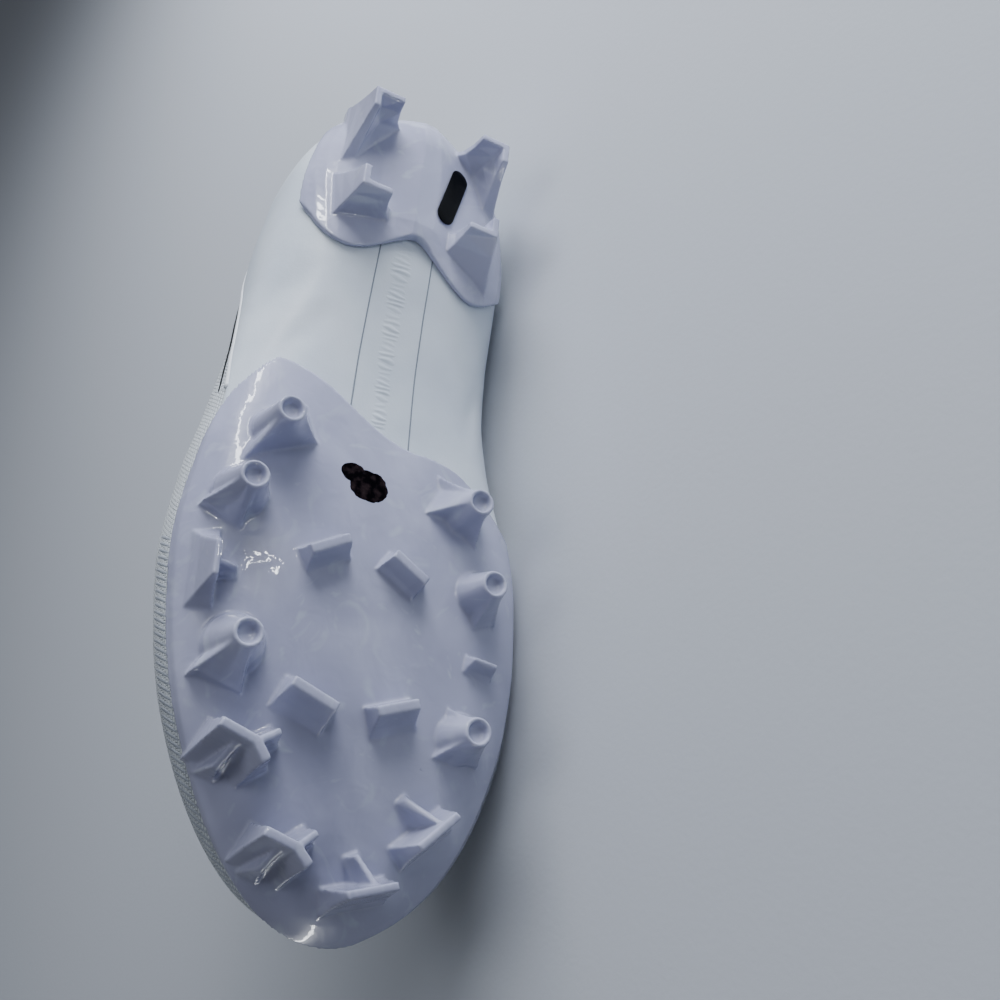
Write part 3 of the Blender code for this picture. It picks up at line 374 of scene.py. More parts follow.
TOP_EDGE = [Edge(*row) for row in (
    (0, 0, 47, 0, 47, 0),
    (1.5, 0, 60, 0, 60, 0),
    (4, 0, 77, 0, 77, 0),
    (7, 0, 89, 0, 89, 20),
    (10, 11.5, 90, -11.5, 90, 60),
    (14, 17, 89, -17, 89, 74),
    (20, 21.8, 86.6, -21.8, 86.6, 82),
    (38, 28.4, 79, -28.4, 80, 86),
    (63, 31, 76.5, -31, 78.5, 86),
    (91, 29.5, 87, -29.5, 88.5, 76),
    (112, 23.8, 100, -24.6, 100.5, 58),
    (118, 21.4, 101.6, -22.4, 102, 50),
    (136, 17.6, 97, -19, 97.4, 40),
    (160, 14.4, 87.4, -16.2, 87.8, 34),
    (184, 11.2, 77.4, -13.6, 77.6, 28),
    (195, 8.8, 72.8, -11.6, 72.8, 22),
    (201, 6.2, 70.6, -9.4, 70.6, 16),
    (205, 3.2, 69.2, -6.6, 69.2, 9),
    (208, -1.8, 68.2, -1.8, 68.2, 0),
    (227, -2.8, 63.2, -2.8, 63.2, 0),
    (249, -3.8, 57.8, -3.8, 57.8, 0),
    (268, -4.8, 52.4, -4.8, 52.4, 0),
    (281, -5.6, 46.2, -5.6, 46.2, 0),
    (288, -6, 40.4, -6, 40.4, 0),
    (291.5, -6, 34, -6, 34, 0),
)]
print("sections:", len(SECTIONS), "edge rows:", len(TOP_EDGE))

# %% Where the pressed film ends
Wrap = namedtuple("Wrap", "x lat med")
WRAP_LINE = [Wrap(*row) for row in (
    (0, 0.80, 0.80),
    (20, 0.78, 0.78),
    (60, 0.60, 0.72),
    (90, 0.48, 0.66),
    (115, 0.43, 0.58),
    (136, 0.36, 0.46),
    (150, 0.34, 0.36),
    (291.5, 0.34, 0.34),
)]
print("film covers the heel up to", WRAP_LINE[0].lat)


# %% Curves through the tables
def clamp(value, low=0.0, high=1.0):
    return max(low, min(high, value))


def along(x):
    """Position along the shoe as an angle, so that heel and toe close in a round."""
    return math.acos(clamp(1.0 - 2.0 * x / LENGTH, -1.0))


class Curve:
    """A smooth curve through a table's column, with no overshoot between its rows."""

    def __init__(self, rows, column):
        self.at = np.array([along(row.x) for row in rows])
        self.value = np.array([getattr(row, column) for row in rows])
        step = np.diff(self.at)
        rise = np.diff(self.value) / step
        slope = np.zeros(len(rows))
        slope[0], slope[-1] = rise[0], rise[-1]
        for i in range(1, len(rows) - 1):
            if rise[i - 1] * rise[i] > 0:
                before, after = 2 * step[i] + step[i - 1], step[i] + 2 * step[i - 1]
                slope[i] = (before + after) / (before / rise[i - 1] + after / rise[i])
        self.slope = slope

    def __call__(self, x):
        t = along(x)
        i = int(np.clip(np.searchsorted(self.at, t) - 1, 0, len(self.at) - 2))
        width = self.at[i + 1] - self.at[i]
        s = clamp((t - self.at[i]) / width)
        a, b = self.value[i], self.value[i + 1]
        rise_a, rise_b = self.slope[i] * width, self.slope[i + 1] * width
        cubic = (2 * s**3 - 3 * s**2 + 1) * a + (s**3 - 2 * s**2 + s) * rise_a
        return float(cubic + (3 * s**2 - 2 * s**3) * b + (s**3 - s**2) * rise_b)


LAST = {name: Curve(SECTIONS, name) for name in Section._fields[1:]}
TOP = {name: Curve(TOP_EDGE, name) for name in Edge._fields[1:]}
WRAP = {name: Curve(WRAP_LINE, name) for name in Wrap._fields[1:]}
print("curves:", len(LAST) + len(TOP) + len(WRAP))

# %% The surface of the last
RISE_HANDLE = 0.72
SIDE_HANDLE = 0.55
CROWN_HANDLE = 0.60
NORMAL_STEP = 0.002


def bezier(points, t):
    a, b, c, d = points
    return a * (1 - t) ** 3 + 3 * b * t * (1 - t) ** 2 + 3 * c * t**2 * (1 - t) + d * t**3


def closed_above(x):
    return x >= THROAT_FRONT or x <= COLLAR_BACK


def top_edge(x, side):
    """The edge of the opening on one side, or the ridge where both sides meet."""
    if closed_above(x):
        return Vector((x, (TOP["lat_y"](x) + TOP["med_y"](x)) / 2, TOP["lat_z"](x)))
    return Vector((x, TOP[side + "_y"](x), TOP[side + "_z"](x)))


@lru_cache(maxsize=None)
def skin(x, v):
    """The point of the last at x and share v: 0 is the middle of the underside, 0.5 the widest
    point, 1 the top edge; v is positive on the lateral side and negative on the medial."""
    side = "lat" if v >= 0 else "med"
    share = abs(v)
    under = Vector((x, (LAST["lat_y"](x) + LAST["med_y"](x)) / 2, LAST["under_z"](x)))
    wide = Vector((x, LAST[side + "_y"](x), LAST[side + "_z"](x)))
    if share <= 0.5:
        flat = LAST["flat"](x)
        out = Vector((0, wide.y - under.y, 0))
        up = Vector((0, 0, wide.z - under.z))
        return bezier((under, under + flat * out, wide - RISE_HANDLE * up, wide), share * 2)
    edge = top_edge(x, side)
    lean = math.radians(TOP["lean"](x))
    rise, run = edge.z - wide.z, edge.y - wide.y
    reach = CROWN_HANDLE * (abs(run) * math.cos(lean) + rise * math.sin(lean))
    inward = math.copysign(1.0, -v)
    arrive = Vector((0, inward * math.cos(lean), math.sin(lean))) * reach
    rising = Vector((0, 0, SIDE_HANDLE * rise))
    return bezier((wide, wide + rising, edge - arrive, edge), share * 2 - 1)


print("widest lateral point at the ball:", round(skin(BALL_X, 0.5).y, 1), "mm")


# %% Normals of the last
def side_normal(x, v):
    """The last's normal worked out on one side of it."""
    t = along(x)
    ahead = LENGTH * (1 - math.cos(min(t + NORMAL_STEP, math.pi))) / 2
    behind = LENGTH * (1 - math.cos(t - NORMAL_STEP)) / 2
    low, high = max(v - NORMAL_STEP, -1.0), min(v + NORMAL_STEP, 1.0)
    lengthwise = skin(ahead, v) - skin(behind, v)
    crosswise = skin(x, high) - skin(x, low)
    return crosswise.cross(lengthwise).normalized()


@lru_cache(maxsize=None)
def outward(x, v):
    """The last's normal at that point, pointing out of the shoe."""
    t = along(x)
    if t < NORMAL_STEP:
        return Vector((-1, 0, 0))
    if t > math.pi - NORMAL_STEP:
        return Vector((1, 0, 0))
    if closed_above(x) and abs(v) > 1 - NORMAL_STEP:
        return (side_normal(x, 1.0) + side_normal(x, -1.0)).normalized()
    return side_normal(x, v)


print("ball width", round(LAST["lat_y"](BALL_X) - LAST["med_y"](BALL_X), 1), "mm")

# %% [markdown]
# The outer face of the upper is the last's surface with two kinds of relief: the film over heel
# and arch stands a little proud, and soft creases lie where foot and hand bend the shoe.

# %% Film step and creases
WRAP_STEP = 0.8
STEP_BLEND = 0.012
Crease = namedtuple("Crease", "x1 v1 x2 v2 depth width")
CREASES = [Crease(*row) for row in (
    (84, 0.20, 104, 0.34, 0.7, 5),
    (98, 0.12, 122, 0.24, 0.6, 4.5),
    (72, -0.22, 92, -0.34, 0.8, 5),
    (88, -0.10, 112, -0.26, 0.7, 5),
    (104, -0.30, 128, -0.22, 0.6, 4),
    (30, 0.40, 56, 0.56, 0.6, 7),
    (34, -0.42, 60, -0.56, 0.6, 7),
    (212, 0.62, 222, 0.98, 0.9, 4),
    (212, -0.62, 222, -0.98, 0.9, 4),
    (226, 0.66, 232, 0.99, 0.7, 3.5),
    (226, -0.66, 232, -0.99, 0.7, 3.5),
    (196, 0.60, 200, 0.88, 0.7, 4),
    (196, -0.60, 200, -0.88, 0.7, 4),
)]
GIRTH_MM = 120.0
CREASE_OVERRUN = 0.4
CREASE_FADE = 3.2


def crease_depth(x, v):
    """How far the surface sinks at a point because of the creases near it."""
    sink = 0.0
    for c in CREASES:
        along_x, along_v = c.x2 - c.x1, (c.v2 - c.v1) * GIRTH_MM
        dx, dv = x - c.x1, (v - c.v1) * GIRTH_MM
        length = math.hypot(along_x, along_v)
        share = (dx * along_x + dv * along_v) / length**2
        if -CREASE_OVERRUN < share < 1 + CREASE_OVERRUN:
            aside = (dx * along_v - dv * along_x) / length
            fade = max(0.0, 1.0 - (2 * share - 1) ** 2 / CREASE_FADE)
            sink += c.depth * fade**2 * math.exp(-(aside / c.width) ** 2)
    return sink


def wrap_step(x, v):
    line = WRAP["lat" if v >= 0 else "med"](x)
    over = (line - abs(v)) / STEP_BLEND
    return WRAP_STEP * clamp(0.5 + over / 2)


def outer(x, v, offset=0.0):
    """A plain offset of the last with the film's step, on which every piece is fitted."""
    return skin(x, v) + outward(x, v) * (wrap_step(x, v) + offset)


print("creases:", len(CREASES))

# %% [markdown]
# ## Sheets
#
# A sheet is one grid operator whose points a function then places, which keeps its rows even on a
# curved last. It gets a UV map named `weave` that counts millimetres along and across, so that a
# knit keeps its size on every curve.

# %% Grid helpers
WELD_MM = 1e-4
NEEDLE_MM = 1e-5


def sheet(rows, columns_of_row, place, close=False):
    """A grid placed by place(row value, column value), in millimetres on the standing shoe."""
    count = len(columns_of_row(rows[0])) + (1 if close else 0)
    bm = bmesh.new()
    uv = bm.loops.layers.uv.new("weave")
    bmesh.ops.create_grid(bm, x_segments=len(rows) - 1, y_segments=count - 1, size=1)
    share = bm.verts.layers.float.new("share")
    steps = {}
    for vert in bm.verts:
        i = round((vert.co.x + 1) / 2 * (len(rows) - 1))
        j = round((vert.co.y + 1) / 2 * (count - 1))
        across = columns_of_row(rows[i])
        vert.co = place(rows[i], across[j % len(across)])
        vert[share] = across[j % len(across)]
        steps[vert.index] = (i, j)
    points = np.zeros((len(rows), count, 3))
    for vert in bm.verts:
        points[steps[vert.index]] = vert.co
    middle = points[:, count // 2]
    run = np.concatenate([[0], np.cumsum(np.linalg.norm(np.diff(middle, axis=0), axis=1))])
    girth = np.cumsum(np.linalg.norm(np.diff(points, axis=1), axis=2), axis=1)
    girth = np.hstack([np.zeros((len(rows), 1)), girth])
    girth -= girth[:, count // 2][:, None]
    for face in bm.faces:
        for loop in face.loops:
            i, j = steps[loop.vert.index]
            loop[uv].uv = (run[i], girth[i, j])
    return bm


print("weld distance:", WELD_MM, "mm")

# %% Objects on the lying shoe
def finish(bm, name, material=None, turn_out=True, place=LAY):
    """Makes an object of a bmesh on the standing shoe and lays it down with the shoe."""
    bmesh.ops.remove_doubles(bm, verts=bm.verts, dist=WELD_MM)
    bmesh.ops.dissolve_degenerate(bm, edges=bm.edges, dist=NEEDLE_MM)
    if turn_out:
        bmesh.ops.recalc_face_normals(bm, faces=bm.faces)
    bmesh.ops.transform(bm, matrix=place, verts=bm.verts)
    mesh = bpy.data.meshes.new(name)
    bm.to_mesh(mesh)
    bm.free()
    obj = bpy.data.objects.new(name, mesh)
    bpy.context.scene.collection.objects.link(obj)
    if material:
        mesh.materials.append(material)
    return obj


def settle(obj, helpers=()):
    """Applies an object's modifiers and removes the bodies that they used."""
    graph = bpy.context.evaluated_depsgraph_get()
    done = bpy.data.meshes.new_from_object(obj.evaluated_get(graph), depsgraph=graph)
    obj.modifiers.clear()
    obj.data = done
    for helper in helpers:
        bpy.data.objects.remove(helper)
    return obj


def dress(obj, replaces=(), smooth=True):
    """Stamps the attribute `shoe`, smooths, hangs the piece on the root body and hides the nodes
    it replaces.
    """
    mesh = obj.data
    places = np.empty(len(mesh.vertices) * 3, dtype=np.float32)
    mesh.vertices.foreach_get("co", places)
    inverse = np.array(STAND)
    standing = places.reshape(-1, 3) @ inverse[:3, :3].T + inverse[:3, 3]
    stamp = mesh.attributes.new("shoe", "FLOAT_VECTOR", "POINT")
    stamp.data.foreach_set("vector", standing.astype(np.float32).ravel())
    if smooth:
        mesh.shade_smooth()
    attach(obj, "root")
    if replaces:
        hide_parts(*replaces)
    print(obj.name, len(mesh.polygons), "faces")
    return obj


print("slots stamp the attribute shoe")

# %% Small helpers
def spread(low, high, step):
    """Even values from low to high, about step apart."""
    count = max(2, round((high - low) / step) + 1)
    return [low + (high - low) * k / (count - 1) for k in range(count)]


def bisect(low, high, is_low, steps=24):
    """The value between low and high at which is_low turns false."""
    for _ in range(steps):
        middle = (low + high) / 2
        if is_low(middle):
            low = middle
        else:
            high = middle
    return (low + high) / 2


def even_angles(count):
    """Even angles once round."""
    return [2 * math.pi * k / count for k in range(count)]


def oval(centre, wide, high, sides):
    """A ring of points round a centre, from its two half axes."""
    return [centre + wide * math.cos(a) + high * math.sin(a) for a in even_angles(sides)]


SIGN = {"lat": 1, "med": -1}
print("angles of a square:", [round(math.degrees(a)) for a in even_angles(4)])

# %% [markdown]
# ## The upper
#
# The upper is one hollow wall. A single grid covers the last from edge to edge, the faces under
# the two plates are opened, and Solidify gives it its thickness, padded round the collar.

# %% Rows and columns
ROW_STEP_DEG = 1.15
WALL = 2.2
COLLAR_PADDING = 3.4
PAD_SHARE = 0.80
PAD_FRONT = 126.0
PAD_FADE = 20.0
FOREFOOT_WINDOW = (148.0, 259.0)
HEEL_WINDOW = (14.0, 50.0)
WINDOW_BELOW = 8.0
WINDOW_HALF = 0.30


def round_rows(step_deg, extra=()):
    """Values of x that are even in angle, so that heel and toe close in a round."""
    count = round(180 / step_deg)
    rows = {LENGTH * (1 - math.cos(math.pi * k / count)) / 2 for k in range(count + 1)}
    return sorted(rows | set(extra))


def columns(below, above):
    """Shares from the lateral edge to the medial edge, with a close pair at the film's edge."""
    @lru_cache(maxsize=None)
    def shares(x):
        halves = []
        for side, sign in SIGN.items():
            line = WRAP[side](x)
            low, high = line - STEP_BLEND, line + STEP_BLEND
            half = [low * k / below for k in range(below)] + [low, line, high]
            half += [high + (1 - high) * k / above for k in range(1, above + 1)]
            halves.append([sign * v for v in half])
        return halves[0][::-1] + halves[1][1:]
    return shares


UPPER_ROWS = round_rows(ROW_STEP_DEG, (THROAT_FRONT, COLLAR_BACK))
UPPER_COLUMNS = columns(34, 34)
print("rows:", len(UPPER_ROWS), "columns:", len(UPPER_COLUMNS(100)))


# %% Upper wall
def upper_face(x, v):
    """The upper's real face, a hair inside its neighbours where it is creased."""
    return outer(x, v) - outward(x, v) * crease_depth(x, v)


def padding(x, share):
    band = clamp((share - PAD_SHARE) / (1 - PAD_SHARE))
    back = clamp((PAD_FRONT - x) / PAD_FADE)
    return WALL + COLLAR_PADDING * math.sin(band * math.pi / 2) * back


def wall_at(place):
    """The wall's thickness at a point of its outer face."""
    side = "lat" if place.y >= (TOP["lat_y"](place.x) + TOP["med_y"](place.x)) / 2 else "med"
    wide, edge = LAST[side + "_z"](place.x), TOP[side + "_z"](place.x)
    share = 0.5 + 0.5 * clamp((place.z - wide) / max(edge - wide, 1.0))
    return padding(place.x, share)


bm = sheet(UPPER_ROWS, UPPER_COLUMNS, upper_face)
bmesh.ops.remove_doubles(bm, verts=bm.verts, dist=WELD_MM)
hidden = []
for face in bm.faces:
    centre = face.calc_center_median()
    wide, narrow = LAST["lat_y"](centre.x), LAST["med_y"](centre.x)
    low = centre.z < LAST["lat_z"](centre.x) - WINDOW_BELOW
    inside = abs(centre.y - (wide + narrow) / 2) < WINDOW_HALF * (wide - narrow)
    if low and inside and any(a < centre.x < b for a, b in (FOREFOOT_WINDOW, HEEL_WINDOW)):
        hidden.append(face)
bmesh.ops.delete(bm, geom=hidden, context="FACES")
print("faces opened under the plates:", len(hidden))

# %% Upper zones and thickness
FILM, KNIT, LINING = 0, 1, 2
shares = bm.verts.layers.float["share"]
for face in bm.faces:
    centre = face.calc_center_median()
    share = sum(vert[shares] for vert in face.verts) / len(face.verts)
    line = WRAP["lat" if share >= 0 else "med"](centre.x)
    face.material_index = FILM if abs(share) < line else KNIT
upper = finish(bm, "upper_wall", film)
upper.data.materials.append(knit)
upper.data.materials.append(finishes["lining"])
group = upper.vertex_groups.new(name="wall")
thickest = WALL + COLLAR_PADDING
for vert in upper.data.vertices:
    group.add([vert.index], wall_at(STAND @ vert.co) / thickest, "REPLACE")
wall = upper.modifiers.new("wall", "SOLIDIFY")
wall.thickness = thickest * MM
wall.offset = -1
wall.vertex_group = group.name
wall.material_offset = LINING
wall.material_offset_rim = KNIT
settle(upper)
dress(upper, ["upper"])

# %% [markdown]
# ## The moulded plates
#
# A plate is a layer of the shoe's own shape, cut to its outline from below and to its rim from
# the side. Its studs are lofts that join it. On the real plate every stud flows into the plate
# with a fillet, so the joined body is remeshed and smoothed a little.

# %% Outlines of the plates
SEAT_GAP = 0.3
PLATE_THICK = 1.8
PlateEdge = namedtuple("PlateEdge", "x z")
SIDE_REACH = 90.0
FOREFOOT_RIM = [PlateEdge(*row) for row in (
    (112, 20), (124, 23.5), (136, 26.5), (152, 28),
    (200, 28), (250, 28), (280, 29), (310, 30),
)]
FOREFOOT_RIM_DROP = 8.0
HEEL_RIM_DROP = 4.0
HEEL_RIM = [PlateEdge(*row) for row in (
    (-10, 30), (8, 28.5), (30, 25.5), (50, 25),
    (64, 24), (90, 22),
)]
PlanPoint = namedtuple("PlanPoint", "x y")
FOREFOOT_PLAN = [PlanPoint(*row) for row in (
    (152, 70), (139, 54), (129, 48.5), (123, 45), (120.4, 40), (121.5, 33), (126, 22),
    (133, 12), (139.5, 2), (143, -8), (142.6, -18), (144.5, -27), (150, -35), (158, -44),
    (166, -54), (170, -70), (310, -70), (310, 70),
)]
HEEL_PLAN = [PlanPoint(*row) for row in (
    (-12, 70), (-12, -70), (50, -70), (58, -50), (66, -39), (73, -32), (76, -26), (75, -20),
    (67, -9), (61, -2.5), (60.5, 2), (66, 10), (71, 18), (72, 25), (68, 33), (59, 39),
    (50, 46), (42, 70),
)]
print("outline points:", len(FOREFOOT_PLAN), len(HEEL_PLAN))


# %% Cutting bodies
def prism(name, outline, low, high, drop=0.0):
    """A plan extruded upwards, or a side outline extruded to the lateral side with a drop."""
    bm = bmesh.new()
    if hasattr(outline[0], "y"):
        corners = [Vector((p.x, p.y, low)) for p in outline]
        push = Vector((0, 0, high - low))
    else:
        corners = [Vector((p.x, low, p.z + drop / 2)) for p in outline]
        push = Vector((0, high - low, -drop))
    face = bm.faces.new([bm.verts.new(c) for c in corners])
    raised = bmesh.ops.extrude_face_region(bm, geom=[face])
    tops = [g for g in raised["geom"] if isinstance(g, bmesh.types.BMVert)]
    bmesh.ops.translate(bm, verts=tops, vec=push)
    return finish(bm, name)


CORNER_CUT = 0.25


def rounded(outline, passes=2):
    """The outline with its corners cut, so that it reads as a drawn curve."""
    points = [Vector((p.x, p.y)) for p in outline]
    for _ in range(passes):
        cut = []
        for a, b in zip(points, points[1:] + points[:1]):
            cut += [a.lerp(b, CORNER_CUT), a.lerp(b, 1 - CORNER_CUT)]
        points = cut
    return [PlanPoint(p.x, p.y) for p in points]


def share_at(x, y, offset=0.0):
    """The share v of the sole face, moved out by offset, above the plan point x, y."""
    return bisect(-0.5, 0.5, lambda v: outer(x, v, offset).y < y)


def under_z(x, y, offset):
    """Height of the sole face, moved out by offset, above the plan point x, y."""
    return outer(x, share_at(x, y, offset), offset).z


print("corners of the forefoot plan:", len(rounded(FOREFOOT_PLAN)))


# %% Lofts and booleans
def loft_into(bm, rings):
    """Adds a closed body through rings of equal length, capped at both ends."""
    loops = []
    for ring in rings:
        verts = [bm.verts.new(Vector(place)) for place in ring]
        loops.append([bm.edges.new(pair) for pair in zip(verts, verts[1:] + verts[:1])])
    for one, two in zip(loops, loops[1:]):
        bmesh.ops.bridge_loops(bm, edges=one + two)
    for end in (loops[0], loops[-1]):
        bmesh.ops.edgeloop_fill(bm, edges=end)


def loft(name, rings, material=None):
    bm = bmesh.new()
    loft_into(bm, rings)
    return finish(bm, name, material)


def boolean(obj, other, operation):
    """Every body here is closed, which the manifold solver needs."""
    modifier = obj.modifiers.new(operation, "BOOLEAN")
    modifier.operation = operation
    modifier.solver = "MANIFOLD"
    modifier.object = other


ROOT_DEPTH = 1.0
ROOT_LIMIT = 24.0
ROOT_TOP = 28.0


def rooted(outline):
    """The two rings of a stud's root: a level one inside the shoe, one just under the face."""
    depth = SEAT_GAP + PLATE_THICK - ROOT_DEPTH
    face = [(x, y, min(under_z(x, y, depth), ROOT_LIMIT)) for x, y in outline]
    return [[(x, y, ROOT_TOP) for x, y in outline], face]


print("cutters ready")

# %% [markdown]
# Six round studs carry the forefoot. Each has a cup in its tip and thin fins that run down its
# foot. Short blades, drafted so that they leave the tool, stand between them and at the toe.

# %% Sizes of the round studs
TIP_RADIUS = 4.4
Cone = namedtuple("Cone", "name x y root")
CONES = [Cone(*row) for row in (
    ("lateral_rear", 149, 35.3, 7.8),
    ("lateral_middle", 173, 42.2, 8.8),
    ("lateral_front", 218.5, 35.8, 9.4),
    ("medial_rear", 160.8, -29.2, 7.4),
    ("medial_middle", 186.8, -36.4, 8),
    ("medial_front", 232.8, -35, 8.2),
)]
# A fin's angle counts from the toe direction towards lateral, and its reach from the axis
FIN_FLANK = 1.6
Fin = namedtuple("Fin", "cone angle reach")
FINS = [Fin(*row) for row in (
    ("lateral_rear", 33, 15.8), ("lateral_rear", -84, 13.9), ("lateral_rear", -145, 14.6),
    ("lateral_middle", 62, 12.6), ("lateral_middle", -7, 12.4),
    ("lateral_front", 47, 15.0), ("lateral_front", -17, 14.0),
    ("medial_rear", 141, 16.2), ("medial_rear", 77, 12.6), ("medial_rear", -30, 10.0),
    ("medial_middle", 2, 11.6), ("medial_middle", -40, 12.4),
    ("medial_front", 48, 10.7), ("medial_front", -45, 11.0), ("medial_front", 152, 9.6),
)]


print("round studs:", len(CONES), "fins:", len(FINS))


# %% Foot of a round stud
def foot_radius(cone, angle):
    """Radius of a round stud's foot at an angle. Flat faces join the feet of neighbouring fins."""
    fins = sorted((math.radians(fin.angle) % (2 * math.pi), fin.reach)
                  for fin in FINS if fin.cone == cone.name)
    radius = cone.root
    for (start, reach), (end, next_reach) in zip(fins, fins[1:] + fins[:1]):
        gap = (end - start) % (2 * math.pi)
        past = (angle - start) % (2 * math.pi)
        if past <= gap < math.pi:
            reach_here = reach * math.sin(gap - past) + next_reach * math.sin(past)
            chord = reach * next_reach * math.sin(gap) / reach_here
            radius = max(radius, chord)
        for turn, length in ((past, reach), (gap - past, next_reach)):
            if math.cos(turn) > 0:
                flank = length * (1 - abs(math.sin(turn)) * FIN_FLANK)
                radius = max(radius, flank)
    return radius


print("foot towards the toe:", round(foot_radius(CONES[0], 0.0), 1), "mm")


# %% Round studs
STUD_SIDES = 72
Ring = namedtuple("Ring", "radius z")
# Between foot and tip: how much of the foot's reach is left, and the share of the height
STUD_LEVELS = ((0.90, 0.95), (0.78, 0.88), (0.56, 0.68), (0.34, 0.46), (0.16, 0.26))
STUD_CUP = [Ring(*row) for row in (
    (4.4, 0.9), (4.3, 0.25), (4.0, 0.0), (3.3, 0.1), (2.9, 1.0), (2.5, 2.0), (1.8, 2.4),
    (1.1, 2.5), (0.7, 2.6),
)]


def cone_stud(cone):
    """A round stud with straight fins, flat faces between them and a cup in its tip."""
    fins = [math.radians(fin.angle) % (2 * math.pi) for fin in FINS if fin.cone == cone.name]
    angles = even_angles(STUD_SIDES)
    for turn in fins:
        angles[round(turn * STUD_SIDES / (2 * math.pi)) % STUD_SIDES] = turn

    def ring(radius_at, height_at):
        places = []
        for a in angles:
            radius = radius_at(a)
            x, y = cone.x + radius * math.cos(a), cone.y + radius * math.sin(a)
            places.append((x, y, height_at(x, y)))
        return places

    foot = [(x, y) for x, y, _ in ring(lambda a: foot_radius(cone, a), lambda x, y: 0.0)]
    rings = rooted(foot)
    height = under_z(cone.x, cone.y, SEAT_GAP + PLATE_THICK)
    for share, rise in STUD_LEVELS:
        rings.append(ring(lambda a: TIP_RADIUS + (foot_radius(cone, a) - TIP_RADIUS) * share,
                          lambda x, y: height * rise))
    for level in STUD_CUP:
        rings.append(ring(lambda a: level.radius, lambda x, y: level.z))
    return loft("stud_" + cone.name, rings)


print("sides of a round stud:", STUD_SIDES)

# %% Sizes of the blades
Blade = namedtuple("Blade", "name x1 y1 x2 y2 crest1 crest2 width left right lengthen")
BLADES = [Blade(*row) for row in (
    ("centre_rear_lateral", 182.4, 10.2, 189, 21.4, 4.2, 4.2, 3, 1.6, 4.2, 1),
    ("centre_rear_medial", 183.4, -4.4, 190, -15.6, 4.2, 4.2, 3, 4.4, 1.6, 1),
    ("centre_front_lateral", 227.6, 20.4, 232.8, 6.6, 4.2, 4.2, 3, 6.6, 1.6, 1),
    ("centre_front_medial", 231.6, -5.2, 227, -17.6, 4.2, 4.2, 3, 6.2, 1.6, 1),
    ("lateral_edge", 193, 47.4, 203, 46.6, 5, 5, 1.6, 5.2, 1.6, 8),
    ("lateral_edge_fin", 198.4, 46.6, 197.4, 40, 6, 11.4, 1.4, 3, 1.6, 1),
    ("lateral_toe_wall", 242.6, 38.4, 246, 28.2, 1, 1, 2.6, 6.4, 2.2, 1.2),
    ("lateral_toe_turn", 246, 28.2, 250.6, 24.6, 1, 1.4, 2.6, 5.6, 2.2, 3),
    ("lateral_toe_fin", 245.8, 27.6, 242, 21.6, 1.4, 3.4, 1.8, 3, 2, 1.4),
    ("lateral_toe_strut", 247, 32.6, 253, 35.4, 4.4, 12, 1.8, 2.2, 2.6, 1.6),
    ("front_lateral_wall", 267.6, 21.8, 270.6, 12.6, 2.4, 2.4, 2.6, 6, 2.2, 1.2),
    ("front_lateral_turn", 270.6, 12.6, 274.6, 8.6, 2.4, 2.8, 2.6, 5, 2.2, 2.6),
    ("front_lateral_fin", 270, 12, 266, 7, 2.8, 4.8, 1.8, 3, 2, 1.4),
    ("front_lateral_strut", 271.4, 16.4, 276.6, 18.6, 5.6, 13, 1.8, 2.2, 2.6, 1.6),
    ("toe_wall", 280.6, -3.2, 276.6, -17.4, 4, 4, 2.2, 4, 2, 2.2),
    ("toe_fin", 277.8, -12, 269.4, -7.6, 5, 13, 1.4, 1.8, 3, 1.2),
    ("medial_toe_wall", 266.6, -21.4, 256.2, -32.4, 2.4, 2.4, 2.2, 4.4, 2, 2.6),
    ("medial_toe_fin", 259.4, -28.2, 252.6, -19.4, 3.4, 12, 1.4, 1.8, 3, 1.2),
    ("medial_edge_fin", 209, -35.4, 210, -43.5, 8, 8, 1.2, 4.4, 1.8, 1.4),
)]
WAIST_RISE = 0.60
WAIST_SPREAD = 0.48


def blade_outline(blade, share):
    """The four corners at a share of the way from crest to foot."""
    start, end = Vector((blade.x1, blade.y1)), Vector((blade.x2, blade.y2))
    ahead = (end - start).normalized()
    left = Vector((-ahead.y, ahead.x))
    grow = ahead * blade.lengthen * share
    out_left = left * (blade.width / 2 + blade.left * share)
    out_right = left * (blade.width / 2 + blade.right * share)
    return [tuple(start - grow - out_right), tuple(end + grow - out_right),
            tuple(end + grow + out_left), tuple(start - grow + out_left)]


print("blades:", len(BLADES))


# %% Blades
def blade_stud(blade):
    """A drafted bar: its crest is narrow and its faces run out to the plate."""
    rings = rooted(blade_outline(blade, 1.0))
    crests = (blade.crest1, blade.crest2, blade.crest2, blade.crest1)
    for rise, share in ((WAIST_RISE, WAIST_SPREAD), (0.0, 0.0)):
        corners = zip(blade_outline(blade, share), crests, rings[1][:4])
        rings.append([(x, y, top + (foot[2] - top) * rise) for (x, y), top, foot in corners])
    return loft("blade_" + blade.name, rings)


print("blade waist at", WAIST_RISE)

# %% Sizes of the heel blades
Chevron = namedtuple("Chevron", "name x y ahead across foot")
CHEVRONS = [Chevron(*row) for row in (
    ("lateral_rear", 13.4, 26.8, 1, -1,
     ((5, 30), (40, 32), (37, 27), (24, 17.5), (14, 9), (7, 8.5))),
    ("medial_rear", 13.4, -26.8, 1, 1,
     ((5, -30), (38, -32), (35, -26), (22, -18), (14, -8.5), (8, -7.5))),
    ("lateral_front", 57.6, 26.2, -1, -1,
     ((61.5, 31), (42, 33.5), (42, 26), (48, 16), (52.5, 8.5), (59, 9))),
    ("medial_front", 57.6, -25.6, -1, 1,
     ((73, -32), (44, -32), (43, -24), (47, -16.5), (52, -9.5), (63, -10))),
)]
ARM_AHEAD = 8.5
ARM_ACROSS = 11.0
ARM_WIDTH = 2.4
